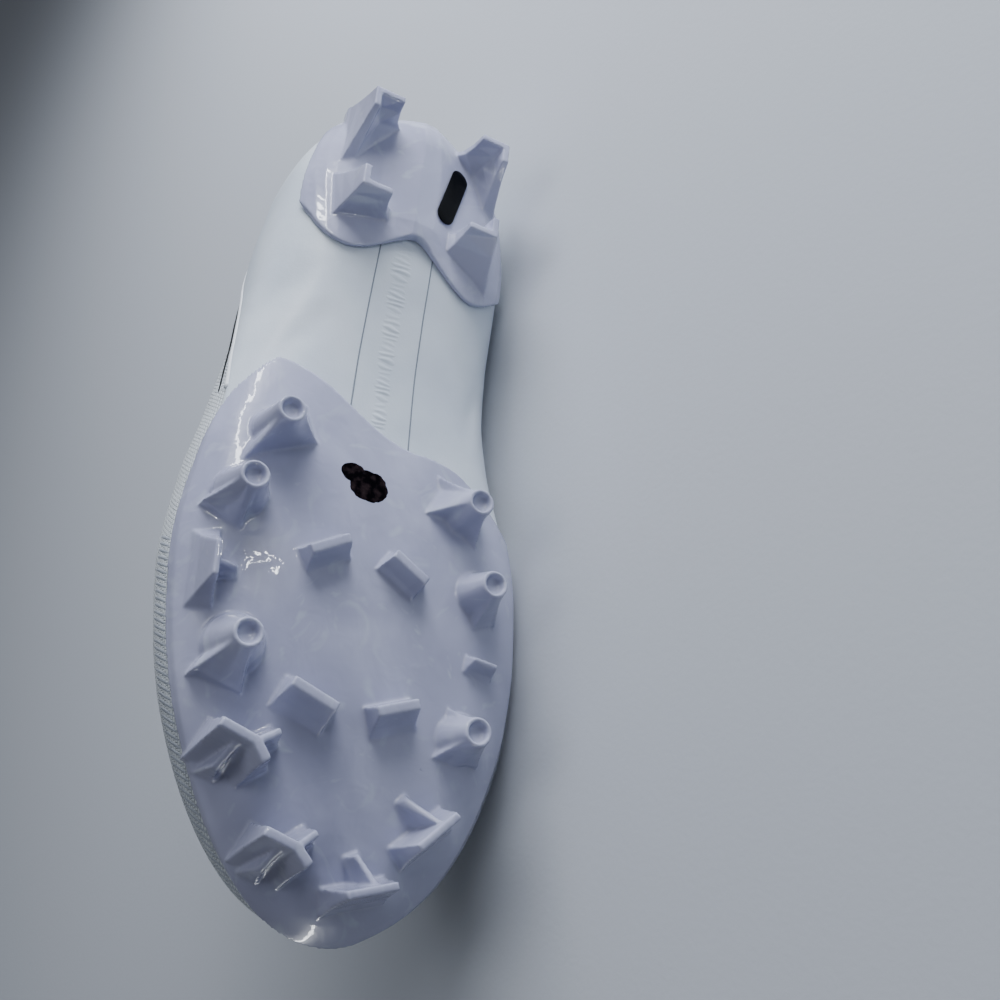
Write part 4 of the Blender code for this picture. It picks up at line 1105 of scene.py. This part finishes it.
# A level of a heel blade: its height as a share of the whole, then how far each of the six
# corners has moved from crest to foot; the ends of the arms scoop in, the faces run straight
Level = namedtuple("Level", "rise corner ahead_out ahead_in inner across_in across_out")
CHEVRON_LEVELS = [Level(*row) for row in (
    (0.90, 0.84, 0.80, 0.80, 0.78, 0.62, 0.62),
    (0.66, 0.58, 0.52, 0.50, 0.46, 0.26, 0.26),
    (0.33, 0.27, 0.22, 0.20, 0.18, 0.08, 0.08),
    (0, 0, 0, 0, 0, 0, 0),
)]


def chevron_crest(chevron):
    """The six corners of the L-shaped crest, outer corner first."""
    ends = [(0, 0), (ARM_AHEAD, 0), (ARM_AHEAD, ARM_WIDTH), (ARM_WIDTH, ARM_WIDTH),
            (ARM_WIDTH, ARM_ACROSS), (0, ARM_ACROSS)]
    return [(chevron.x + chevron.ahead * a, chevron.y + chevron.across * b) for a, b in ends]


def chevron_outline(chevron, level):
    """The six corners at a level, between the crest and the foot."""
    pairs = zip(chevron_crest(chevron), chevron.foot, level[1:])
    return [(a[0] + (b[0] - a[0]) * share, a[1] + (b[1] - a[1]) * share) for a, b, share in pairs]


print("heel blades:", len(CHEVRONS))


# %% Heel blades and keel
KEEL_HEIGHT = 4.0
KEEL_HALF = 15.0
KEEL_FADE = (56.0, 70.0)


def chevron_stud(chevron):
    """An L-shaped heel blade whose faces run down to the plate."""
    rings = rooted(chevron.foot)
    heights = [z for _, _, z in rings[1]]
    for level in CHEVRON_LEVELS:
        corners = zip(chevron_outline(chevron, level), heights)
        rings.append([(x, y, z * level.rise) for (x, y), z in corners])
    return loft("chevron_" + chevron.name, rings)


def keel(x, v):
    """How much the heel plate thickens to its middle ridge, which runs out towards the arch."""
    if abs(v) > 0.5:
        return 0.0
    fade = (KEEL_FADE[1] - x) / (KEEL_FADE[1] - KEEL_FADE[0])
    share = max(0.0, 1.0 - abs(outer(x, v).y) / KEEL_HALF)
    return KEEL_HEIGHT * share * clamp(fade)


print("keel", KEEL_HEIGHT, "mm")

# %% Forms of the shoe's own shape
FORM_STEP_DEG = 2.0
FORM_ROWS = round_rows(FORM_STEP_DEG, (THROAT_FRONT, COLLAR_BACK))
FORM_COLUMNS = columns(20, 8)


def form(name, offset):
    """The closed body of the shoe's own shape, grown by offset(x, v)."""
    place = lambda x, v: outer(x, v, offset(x, v))
    return finish(sheet(FORM_ROWS, FORM_COLUMNS, place, close=True), name)


def recoat(obj, material):
    """Gives a body that booleans made its only material."""
    obj.data.materials.clear()
    obj.data.materials.append(material)


def carve(body, material, keep=(), away=()):
    """Keeps what lies inside the first bodies and cuts the others away."""
    for helper in keep:
        boolean(body, helper, "INTERSECT")
    for helper in away:
        boolean(body, helper, "DIFFERENCE")
    settle(body, [*keep, *away])
    recoat(body, material)


def round_edges(obj, width_mm, from_deg):
    """Bevels the edges that are sharper than the angle."""
    rounding = obj.modifiers.new("rounding", "BEVEL")
    rounding.width = width_mm * MM
    rounding.segments = 2
    rounding.limit_method = "ANGLE"
    rounding.angle_limit = math.radians(from_deg)
    settle(obj)


print("rows of a form:", len(FORM_ROWS))


# %% Making a plate
MOST_TRIANGLES = 185_000
PLAN_RANGE = (-30, 70)
SMOOTH_FACTOR = 0.5


def make_plate(name, thickness, plan, rim, drop, studs, voxel_mm, smoothing):
    """One moulded plate with its studs."""
    plate = form(name, lambda x, v: SEAT_GAP + thickness(x, v))
    helpers = [prism("plan", rounded(plan), *PLAN_RANGE)]
    side = [PlateEdge(rim[0].x, PLAN_RANGE[0]), *rim, PlateEdge(rim[-1].x, PLAN_RANGE[0])]
    helpers.append(prism("rim", side, -SIDE_REACH, SIDE_REACH, drop))
    for cutter in helpers:
        boolean(plate, cutter, "INTERSECT")
    for stud in studs:
        boolean(plate, stud, "UNION")
    helpers += studs
    helpers.append(form("seat", lambda x, v: SEAT_GAP))
    boolean(plate, helpers[-1], "DIFFERENCE")
    remesh = plate.modifiers.new("remesh", "REMESH")
    remesh.mode = "VOXEL"
    remesh.voxel_size = voxel_mm * MM
    smooth = plate.modifiers.new("smooth", "SMOOTH")
    smooth.factor = SMOOTH_FACTOR
    smooth.iterations = smoothing
    settle(plate, helpers)
    triangles = 2 * len(plate.data.polygons)
    if triangles > MOST_TRIANGLES:
        thin = plate.modifiers.new("thin", "DECIMATE")
        thin.ratio = MOST_TRIANGLES / triangles
        settle(plate)
    recoat(plate, outsole)
    return plate


print("a plate has at most", MOST_TRIANGLES, "triangles")

# %% Plates
FOREFOOT_VOXEL = 0.45
FOREFOOT_SMOOTHING = 5
HEEL_VOXEL = 0.4
HEEL_SMOOTHING = 4
studs = [cone_stud(c) for c in CONES] + [blade_stud(b) for b in BLADES]
forefoot = make_plate("forefoot_sole", lambda x, v: PLATE_THICK, FOREFOOT_PLAN, FOREFOOT_RIM,
                      FOREFOOT_RIM_DROP, studs, FOREFOOT_VOXEL, FOREFOOT_SMOOTHING)
dress(forefoot, ["forefoot_plate"])
studs = [chevron_stud(c) for c in CHEVRONS]
heel = make_plate("heel_sole", lambda x, v: PLATE_THICK + keel(x, v), HEEL_PLAN, HEEL_RIM,
                  HEEL_RIM_DROP, studs, HEEL_VOXEL, HEEL_SMOOTHING)
dress(heel, ["heel_plate"])

# %% [markdown]
# A plain black bar of ABS is let into the heel plate beside its ridge. It is cut from the shoe's
# own shape, one gap above the plate, so that it follows the ridge.

# %% Heel inlay
INLAY_THICK = 0.6
INLAY_ENDS = ((27.0, -13.5), (47.0, -9.0))
INLAY_HALF = 3.6
INLAY_RANGE = (-30, 30)
INLAY_EDGE, INLAY_EDGE_DEG = 0.2, 30
ROUND_STEPS = 16
first, last = Vector(INLAY_ENDS[0]), Vector(INLAY_ENDS[1])
heading = math.atan2(last.y - first.y, last.x - first.x)
outline = []
for centre, turn in ((last, -math.pi / 2), (first, math.pi / 2)):
    for k in range(ROUND_STEPS + 1):
        a = heading + turn + math.pi * k / ROUND_STEPS
        outline.append(PlanPoint(centre.x + INLAY_HALF * math.cos(a),
                                 centre.y + INLAY_HALF * math.sin(a)))


def inlay_face(lift):
    return lambda x, v: SEAT_GAP + PLATE_THICK + keel(x, v) + SEAT_GAP + lift


inlay = form("heel_bar", inlay_face(INLAY_THICK))
carve(inlay, finishes["inlay"], [prism("inlay_plan", outline, *INLAY_RANGE)],
      [form("inlay_seat", inlay_face(0.0))])
round_edges(inlay, INLAY_EDGE, INLAY_EDGE_DEG)
dress(inlay, ["heel_inlay"])

# %% [markdown]
# ## Inside the shoe
#
# The sock liner is foam that fills the lowest part of the upper's own shape. The tongue is a
# padded sheet; a copy of its plain solid is merged and subdivided, which rounds its edges.

# %% Sock liner
INSOLE_CLEAR = 0.8
INSOLE_THICK = 4.2
INSOLE_STATIONS = range(8, 292, 4)
BEHIND_HEEL = PlateEdge(-20, 30)
PAST_TOE = PlateEdge(310, 42)
WELL_ABOVE = 220
liner = form("sock_liner", lambda x, v: -(WALL + INSOLE_CLEAR))
tops = [PlateEdge(x, LAST["under_z"](x) + WALL + INSOLE_THICK) for x in INSOLE_STATIONS]
above = [BEHIND_HEEL, *tops, PAST_TOE, PlateEdge(PAST_TOE.x, WELL_ABOVE),
         PlateEdge(BEHIND_HEEL.x, WELL_ABOVE)]
carve(liner, finishes["foam"], away=[prism("liner_top", above, -SIDE_REACH, SIDE_REACH)])
dress(liner, ["insole"])

# %% Tongue
TONGUE_WELD_M = 1e-6
FLAT_ENOUGH = 0.7
bm = bmesh.new()
bm.from_mesh(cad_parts["tongue"].data)
bmesh.ops.remove_doubles(bm, verts=bm.verts, dist=TONGUE_WELD_M)
bmesh.ops.join_triangles(bm, faces=bm.faces, angle_face_threshold=FLAT_ENOUGH,
                         angle_shape_threshold=FLAT_ENOUGH)
bmesh.ops.transform(bm, matrix=STAND, verts=bm.verts)
tongue = finish(bm, "tongue_pad", finishes["lining"])
soften = tongue.modifiers.new("soften", "SUBSURF")
soften.levels = 2
soften.render_levels = 2
settle(tongue)
dress(tongue, ["tongue"])

# %% [markdown]
# ## Eyestay and laces
#
# The eyestay is a film frame round the throat with seven pairs of punched holes. A flat woven
# lace crosses it at each pair and dips into its holes. The frame is cut from the shoe's own
# shape, as the plates are, and a lace is a sheet rolled round a smooth path.

# %% Eyelets
EYESTAY_THICK = 1.0
EYESTAY_WIDTH = 14.0
EYESTAY_NOSE = 15.0
EYESTAY_LINE = (119.5, 128, 140, 152, 164, 176, 188, 198, 206)
SLOT_LINE = (100, 112, 124, 136, 148, 160, 172, 184, 195, 201, 205)
SLOT_CLEAR = 0.5
EYELET_ROWS = (126, 138, 150, 162, 174, 186, 197)
EYELET_INSET = 7.0
EYELET_RADIUS = 2.1
PUNCH_LONG = 9
PUNCH_SIDES = 32
NOSE_STEPS = 24


@lru_cache(maxsize=None)
def inset(x, side, distance):
    """The v that lies so far, seen from above, from the edge of the throat."""
    sign, edge = SIGN[side], TOP[side + "_y"](x)
    far = lambda share: abs(skin(x, sign * share).y - edge) > distance
    return sign * bisect(0.5, 1.0, far, steps=29)


def eyelet(x, side):
    """Middle of an eyelet on the outer face, and the wall's normal there."""
    v = inset(x, side, EYELET_INSET)
    return outer(x, v), outward(x, v)


def punch(x, side):
    """A round cutter square to the wall."""
    place, normal = eyelet(x, side)
    bm = bmesh.new()
    turn = normal.to_track_quat("Z", "Y").to_matrix().to_4x4()
    bmesh.ops.create_cone(bm, cap_ends=True, segments=PUNCH_SIDES, radius1=EYELET_RADIUS,
                          radius2=EYELET_RADIUS, depth=PUNCH_LONG,
                          matrix=Matrix.Translation(place) @ turn)
    return finish(bm, f"punch_{side}_{x}")


print("eyelets:", 2 * len(EYELET_ROWS))

# %% Eyestay
STAY_RANGE = (50, 140)
THROAT_RANGE = (40, 150)
STAY_EDGE, STAY_EDGE_DEG = 0.25, 50
STAY_SHARP_DEG = 40
eyestay = form("eyestay_frame", lambda x, v: SEAT_GAP + EYESTAY_THICK)
lateral = [PlanPoint(x, TOP["lat_y"](x) + EYESTAY_WIDTH) for x in EYESTAY_LINE]
medial = [PlanPoint(x, TOP["med_y"](x) - EYESTAY_WIDTH) for x in EYESTAY_LINE]
middle = (TOP["lat_y"](THROAT_FRONT) + TOP["med_y"](THROAT_FRONT)) / 2
half = (lateral[-1].y - medial[-1].y) / 2
nose = []
for k in range(1, NOSE_STEPS):
    a = math.pi / 2 - math.pi * k / NOSE_STEPS
    aside = middle + half * math.sin(a)
    nose.append(PlanPoint(EYESTAY_LINE[-1] + EYESTAY_NOSE * math.cos(a), aside))
slot = [PlanPoint(x, TOP["lat_y"](x) + SLOT_CLEAR) for x in SLOT_LINE]
slot.append(PlanPoint(THROAT_FRONT + 1.0, middle))
slot += [PlanPoint(x, TOP["med_y"](x) - SLOT_CLEAR) for x in SLOT_LINE[::-1]]
outside = prism("frame_plan", lateral + nose + medial[::-1], *STAY_RANGE)
inside = [prism("throat", slot, *THROAT_RANGE), form("eyestay_seat", lambda x, v: SEAT_GAP)]
inside += [punch(x, side) for x in EYELET_ROWS for side in SIGN]
carve(eyestay, finishes["stay"], [outside], inside)
round_edges(eyestay, STAY_EDGE, STAY_EDGE_DEG)
dress(eyestay, ["eyestay"], smooth=False)
eyestay.data.set_sharp_from_angle(angle=math.radians(STAY_SHARP_DEG))

# %% Laces
LACE_WIDTH = 5.0
LACE_THICK = 1.3
LACE_LIFT = 1.2
LACE_GAP = 0.5
LACE_STEPS = 26
LACE_SIDES = 16
FLATTEN_WIDE, FLATTEN_HIGH = 0.45, 0.8
LOOK_AHEAD = 0.01
DIP_MM = 1.6


def blend_points(points, t):
    """A smooth curve through the points (Catmull-Rom) at t from 0 to 1."""
    spans = len(points) - 1
    i = min(int(t * spans), spans - 1)
    s = t * spans - i
    a, b, c, d = (points[max(0, min(spans, i + k))] for k in (-1, 0, 1, 2))
    square, cube = 2 * a - 5 * b + 4 * c - d, 3 * b - a - 3 * c + d
    return 0.5 * (2 * b + (c - a) * s + square * s**2 + cube * s**3)


def flattened(wave, power):
    """A sine or cosine with its sign kept and its rise made steeper."""
    return math.copysign(abs(wave) ** power, wave)


print("lace:", LACE_WIDTH, "x", LACE_THICK, "mm")


# %% Lace bars
def lace(name, x, node):
    """A flat lace from hole to hole, with rounded edges and its weave in the UV map."""
    rise = SEAT_GAP + EYESTAY_THICK + LACE_GAP + LACE_THICK / 2
    path, normals = [], []
    for side, sign in SIGN.items():
        place, normal = eyelet(x, side)
        ends = [place + normal * (rise - DIP_MM), place + normal * rise,
                outer(x, sign * 1.0) + outward(x, sign * 1.0) * (rise + LACE_LIFT)]
        turns = [normal, normal, outward(x, sign * 1.0)]
        path += ends if sign > 0 else ends[::-1]
        normals += turns if sign > 0 else turns[::-1]
    path.insert(3, (path[2] + path[3]) / 2 + Vector((0, 0, LACE_LIFT)))
    normals.insert(3, Vector((0, 0, 1)))
    profile = [(flattened(math.cos(a), FLATTEN_WIDE) * LACE_WIDTH / 2,
                flattened(math.sin(a), FLATTEN_HIGH) * LACE_THICK / 2)
               for a in even_angles(LACE_SIDES)]

    def place(t, k):
        before = blend_points(path, max(0, t - LOOK_AHEAD))
        ahead = (blend_points(path, min(1, t + LOOK_AHEAD)) - before).normalized()
        side = ahead.cross(blend_points(normals, t)).normalized()
        up = side.cross(ahead)
        return blend_points(path, t) + side * profile[k][0] + up * profile[k][1]

    steps = [k / LACE_STEPS for k in range(LACE_STEPS + 1)]
    bm = sheet(steps, lambda t: tuple(range(len(profile))), place, close=True)
    bmesh.ops.remove_doubles(bm, verts=bm.verts, dist=WELD_MM)
    bmesh.ops.holes_fill(bm, edges=[e for e in bm.edges if e.is_boundary])
    return dress(finish(bm, name, lace_weave), [node])


for row, x in enumerate(EYELET_ROWS, start=1):
    lace(f"lace_{row}", x, f"lace_bar_{row}")

# %% [markdown]
# ## Trim
#
# The film ends in a thin white bead on each side, and a black piping runs a little above it on
# the lateral side. Both are tubes: rings bridged along a line on the upper.

# %% Tubes on the upper
THIN_SIDES = 8
LINE_STEP = 4


def tube_rings(path, normals, wide, high, sides=12, taper=0.0):
    """Oval rings along a path; with a taper the ends are thinner."""
    rings = []
    for i, (place, normal) in enumerate(zip(path, normals)):
        ahead = (path[min(i + 1, len(path) - 1)] - path[max(i - 1, 0)]).normalized()
        side = ahead.cross(normal).normalized()
        half = 0.5 - 0.5 * taper * abs(2 * i / (len(path) - 1) - 1) ** 3
        rings.append(oval(place, side * wide * half, normal * high * half, sides))
    return rings


def line_on_upper(points, step=1.5, offset=0.0):
    """Places and normals along a line given as (x, v) pairs."""
    places, normals = [], []
    for (x1, v1), (x2, v2) in zip(points, points[1:]):
        length = max(1, round(math.hypot(x2 - x1, (v2 - v1) * GIRTH_MM) / step))
        for k in range(length):
            x, v = x1 + (x2 - x1) * k / length, v1 + (v2 - v1) * k / length
            places.append(upper_face(x, v) + outward(x, v) * offset)
            normals.append(outward(x, v))
    return places, normals


def wrap_points(side, low_x, high_x, lift=0.0):
    """The film's edge as (x, v) pairs, lifted by a share."""
    return [(x, SIGN[side] * (WRAP[side](x) + lift)) for x in spread(low_x, high_x, LINE_STEP)]


print("a thin tube has", THIN_SIDES, "sides")

# %% Beads and piping
BEAD_RANGE = {"lat": (12, 134), "med": (12, 142)}
BEAD_WIDE, BEAD_HIGH = 1.7, 1.5
PIPING_RANGE = (74, 134)
PIPING_WIDE, PIPING_HIGH = 1.1, 0.7
PIPING_TAPER = 0.5
PIPING_LIFT = 0.055
PROUD = 0.1
for side, (low_x, high_x) in BEAD_RANGE.items():
    places, normals = line_on_upper(wrap_points(side, low_x, high_x))
    rings = tube_rings(places, normals, BEAD_WIDE, BEAD_HIGH)
    dress(loft(f"bead_{side}", rings, finishes["bead"]))
places, normals = line_on_upper(wrap_points("lat", *PIPING_RANGE, PIPING_LIFT), offset=PROUD)
rings = tube_rings(places, normals, PIPING_WIDE, PIPING_HIGH, taper=PIPING_TAPER)
dress(loft("piping_lat", rings, finishes["piping"]))


# %% [markdown]
# The edge of the opening is bound with a soft tape. It is a tube as wide as the wall, so it is
# thick round the padded collar and thin along the throat.

# %% Collar binding
BINDING_X = (8.5, 203.0)
BINDING_OVER = 0.45
BINDING_HIGH = 1.5
BINDING_SIDES = 16
BINDING_STEP = 2.5
JUST_BELOW = 0.985


def binding_ring(x, sign):
    """An oval ring round the edge of the wall."""
    edge, normal = upper_face(x, sign), outward(x, sign)
    wall = padding(x, 1.0)
    up = (skin(x, sign) - skin(x, sign * JUST_BELOW)).normalized()
    return oval(edge - normal * wall / 2, normal * (wall / 2 + BINDING_OVER),
                up * BINDING_HIGH, BINDING_SIDES)


stations = spread(*BINDING_X, BINDING_STEP)
rings = [binding_ring(x, 1) for x in stations[::-1]]
opposite = BINDING_SIDES // 2
for x in stations:
    ring = binding_ring(x, -1)
    rings.append(ring[opposite::-1] + ring[:opposite:-1])
binding = loft("collar_binding", rings, finishes["lining"])
dress(binding)

# %% [markdown]
# Under the arch two seams run from the heel plate to the forefoot plate, with a strip of gathered
# knit between them. The seams are fine cords; the strip is a sheet with soft cross ridges.

# %% Arch seams and strip
PlanLine = namedtuple("PlanLine", "x1 y1 x2 y2")
ARCH_SEAMS = [PlanLine(56.0, 11.7, 136.0, 12.6), PlanLine(60.0, -8.0, 148.0, -8.9)]
STRIP_EDGES = (PlanLine(56.0, 8.6, 146.0, 5.4), PlanLine(56.0, -2.2, 146.0, -0.8))
SEAM_WIDE, SEAM_HIGH = 0.5, 0.3
SEAM_LIFT = 0.02


def across(line, x):
    return line.y1 + (line.y2 - line.y1) * (x - line.x1) / (line.x2 - line.x1)


for k, line in enumerate(ARCH_SEAMS, start=1):
    points = [(x, share_at(x, across(line, x))) for x in spread(line.x1, line.x2, LINE_STEP)]
    places, normals = line_on_upper(points, offset=SEAM_LIFT)
    rings = tube_rings(places, normals, SEAM_WIDE, SEAM_HIGH, sides=THIN_SIDES)
    dress(loft(f"arch_seam_{k}", rings, finishes["seam"]))


print("arch seams:", len(ARCH_SEAMS))


# %% Arch strip
STRIP_STEP = 0.45
STRIP_COLUMNS = 14
STRIP_SINK = 0.25
STRIP_RISE = 0.22
STRIP_THICK = 0.5
STRIP_FADE = 0.7
RIDGE_PITCH = 2.2
RIDGE_HIGH = 0.42
RIDGE_SHEAR = 5
Wave = namedtuple("Wave", "size per_mm")
LONG_WANDER = Wave(0.5, 0.37)
SHORT_WANDER = Wave(0.35, 0.91)
UNEVEN = Wave(0.3, 0.53)


def sway(wave, x, ahead=0.0):
    return wave.size * math.sin(x * wave.per_mm + ahead)


def strip_face(x, share):
    """The gathered strip, whose ridges fade towards its edges."""
    y = across(STRIP_EDGES[0], x) * (1 - share) + across(STRIP_EDGES[1], x) * share
    v = share_at(x, y)
    fade = math.sin(math.pi * share) ** STRIP_FADE
    wander = sway(LONG_WANDER, x) + sway(SHORT_WANDER, x, RIDGE_SHEAR * share)
    ridge = 0.5 + 0.5 * math.cos(2 * math.pi * (x + wander) / RIDGE_PITCH)
    high = RIDGE_HIGH * ridge * (1 - UNEVEN.size + sway(UNEVEN, x))
    return upper_face(x, v) + outward(x, v) * (fade * (STRIP_RISE + high) - STRIP_SINK)


strip_rows = spread(STRIP_EDGES[0].x1, STRIP_EDGES[0].x2, STRIP_STEP)
strip_columns = tuple(k / STRIP_COLUMNS for k in range(STRIP_COLUMNS + 1))
bm = sheet(strip_rows, lambda x: strip_columns, strip_face)
bmesh.ops.recalc_face_normals(bm, faces=bm.faces)
if sum(face.normal.z for face in bm.faces) > 0:
    bmesh.ops.reverse_faces(bm, faces=bm.faces)
strip = finish(bm, "arch_strip", film, turn_out=False)
thick = strip.modifiers.new("thick", "SOLIDIFY")
thick.thickness = STRIP_THICK * MM
thick.offset = -1
settle(strip)
dress(strip)

# %% [markdown]
# The side of the forefoot carries slanted ribs just above the plate, pressed into the foxing.
# Each is a short tapered tube, because a bump would not show in the outline, and all of them
# are one piece.

# %% Sidewall ribs
RIB_PITCH = 2.1
RIB_SLANT = 4.2
RIB_RANGE = {"lat": (184.0, 280.0), "med": (190.0, 280.0)}
RIB_LOW, RIB_HIGH = 0.385, 0.51
RIB_WIDE = 1.15
RIB_HIGH_MM = 0.30
RIB_SINK = -0.07
RIB_STEPS = 6
RIB_TAPER = 0.7
TOE_CLEAR = 2
bm = bmesh.new()
count = 0
for side, (low_x, high_x) in RIB_RANGE.items():
    for x in spread(low_x, high_x, RIB_PITCH):
        path, normals = [], []
        for k in range(RIB_STEPS + 1):
            v = SIGN[side] * (RIB_HIGH + (RIB_LOW - RIB_HIGH) * k / RIB_STEPS)
            here = min(x + RIB_SLANT * k / RIB_STEPS, LENGTH - TOE_CLEAR)
            path.append(outer(here, v, RIB_SINK))
            normals.append(outward(here, v))
        loft_into(bm, tube_rings(path, normals, RIB_WIDE, RIB_HIGH_MM, THIN_SIDES, RIB_TAPER))
        count += 1
dress(finish(bm, "sidewall_ribs", finishes["foxing"]))
print("ribs:", count)

# %% [markdown]
# Stitches follow the bead, the eyestay and the collar. Each is a small ball stretched along its
# line, and the stitches of one line are one piece.

# %% Stitches
def stitch_line(name, places, normals, material, long=2.0, wide=0.55, pitch=3.0):
    """Stretched balls at an even pitch along a path."""
    bm = bmesh.new()
    run, due, count = 0.0, pitch / 2, 0
    for (a, b), normal in zip(zip(places, places[1:]), normals):
        length = (b - a).length
        while length > 0 and run + length > due:
            spot = a.lerp(b, (due - run) / length)
            ahead = (b - a).normalized()
            side = ahead.cross(normal).normalized()
            turn = Matrix((ahead, side, side.cross(ahead) * -1)).transposed().to_4x4()
            size = Matrix.Diagonal((long / 2, wide / 2, wide / 2, 1))
            bmesh.ops.create_icosphere(bm, subdivisions=1, radius=1,
                                       matrix=Matrix.Translation(spot) @ turn @ size)
            due += pitch
            count += 1
        run += length
    return dress(finish(bm, name, material))


print("a stitch is a stretched ball")

# %% Stitch lines
STITCH_LIFT = 0.03
BEAD_STITCH = (1.1, 0.5, 1.7)
COLLAR_STITCH_SPAN = (14, 112, 5)
STAY_STITCH_SPAN = (122, 204, 1.5)
STAY_STITCH_LIFT = SEAT_GAP + EYESTAY_THICK + 0.05
COLLAR_STITCHES_AT = 0.90
STAY_STITCH_INSET = 1.6
for side, (low_x, high_x) in BEAD_RANGE.items():
    places, normals = line_on_upper(wrap_points(side, low_x, high_x, STITCH_LIFT), offset=PROUD)
    stitch_line(f"bead_stitches_{side}", places, normals, finishes["thread"], *BEAD_STITCH)
for side, sign in SIGN.items():
    points = [(x, sign * COLLAR_STITCHES_AT) for x in spread(*COLLAR_STITCH_SPAN)]
    places, normals = line_on_upper(points, offset=PROUD)
    stitch_line(f"collar_stitches_{side}", places, normals, finishes["thread"])
    line = [(x, inset(x, side, EYESTAY_WIDTH - STAY_STITCH_INSET))
            for x in spread(*STAY_STITCH_SPAN)]
    places = [outer(x, v, STAY_STITCH_LIFT) for x, v in line]
    normals = [outward(x, v) for x, v in line]
    stitch_line(f"eyestay_stitches_{side}", places, normals, finishes["thread"])

# %% [markdown]
# ## Floor
#
# A pale matt sheet of seamless paper, only a stage for the shoe. Its fine tooth is a noise bump.

# %% Floor
PAPER_GRAIN_MM = 2.0
PAPER_RELIEF = 0.05
FLOOR_HALF_M = 3.0
FLOOR_CELLS = 8
paper = start("matt seamless paper", "#B4B9C2", 0.8)
where = add(paper, "TexCoord")["Object"]
grain = add(paper, "TexNoise", {"Vector": where, "Scale": 1 / (PAPER_GRAIN_MM * MM),
                                "Detail": 3.0})["Fac"]
add(paper, "Bump", {"Height": grain, "Distance": PAPER_RELIEF * MM}, feeds=("Normal",))
bm = bmesh.new()
bmesh.ops.create_grid(bm, x_segments=FLOOR_CELLS, y_segments=FLOOR_CELLS, size=FLOOR_HALF_M)
finish(bm, "floor", paper, turn_out=False, place=Matrix())
print("floor side", 2 * FLOOR_HALF_M, "m")
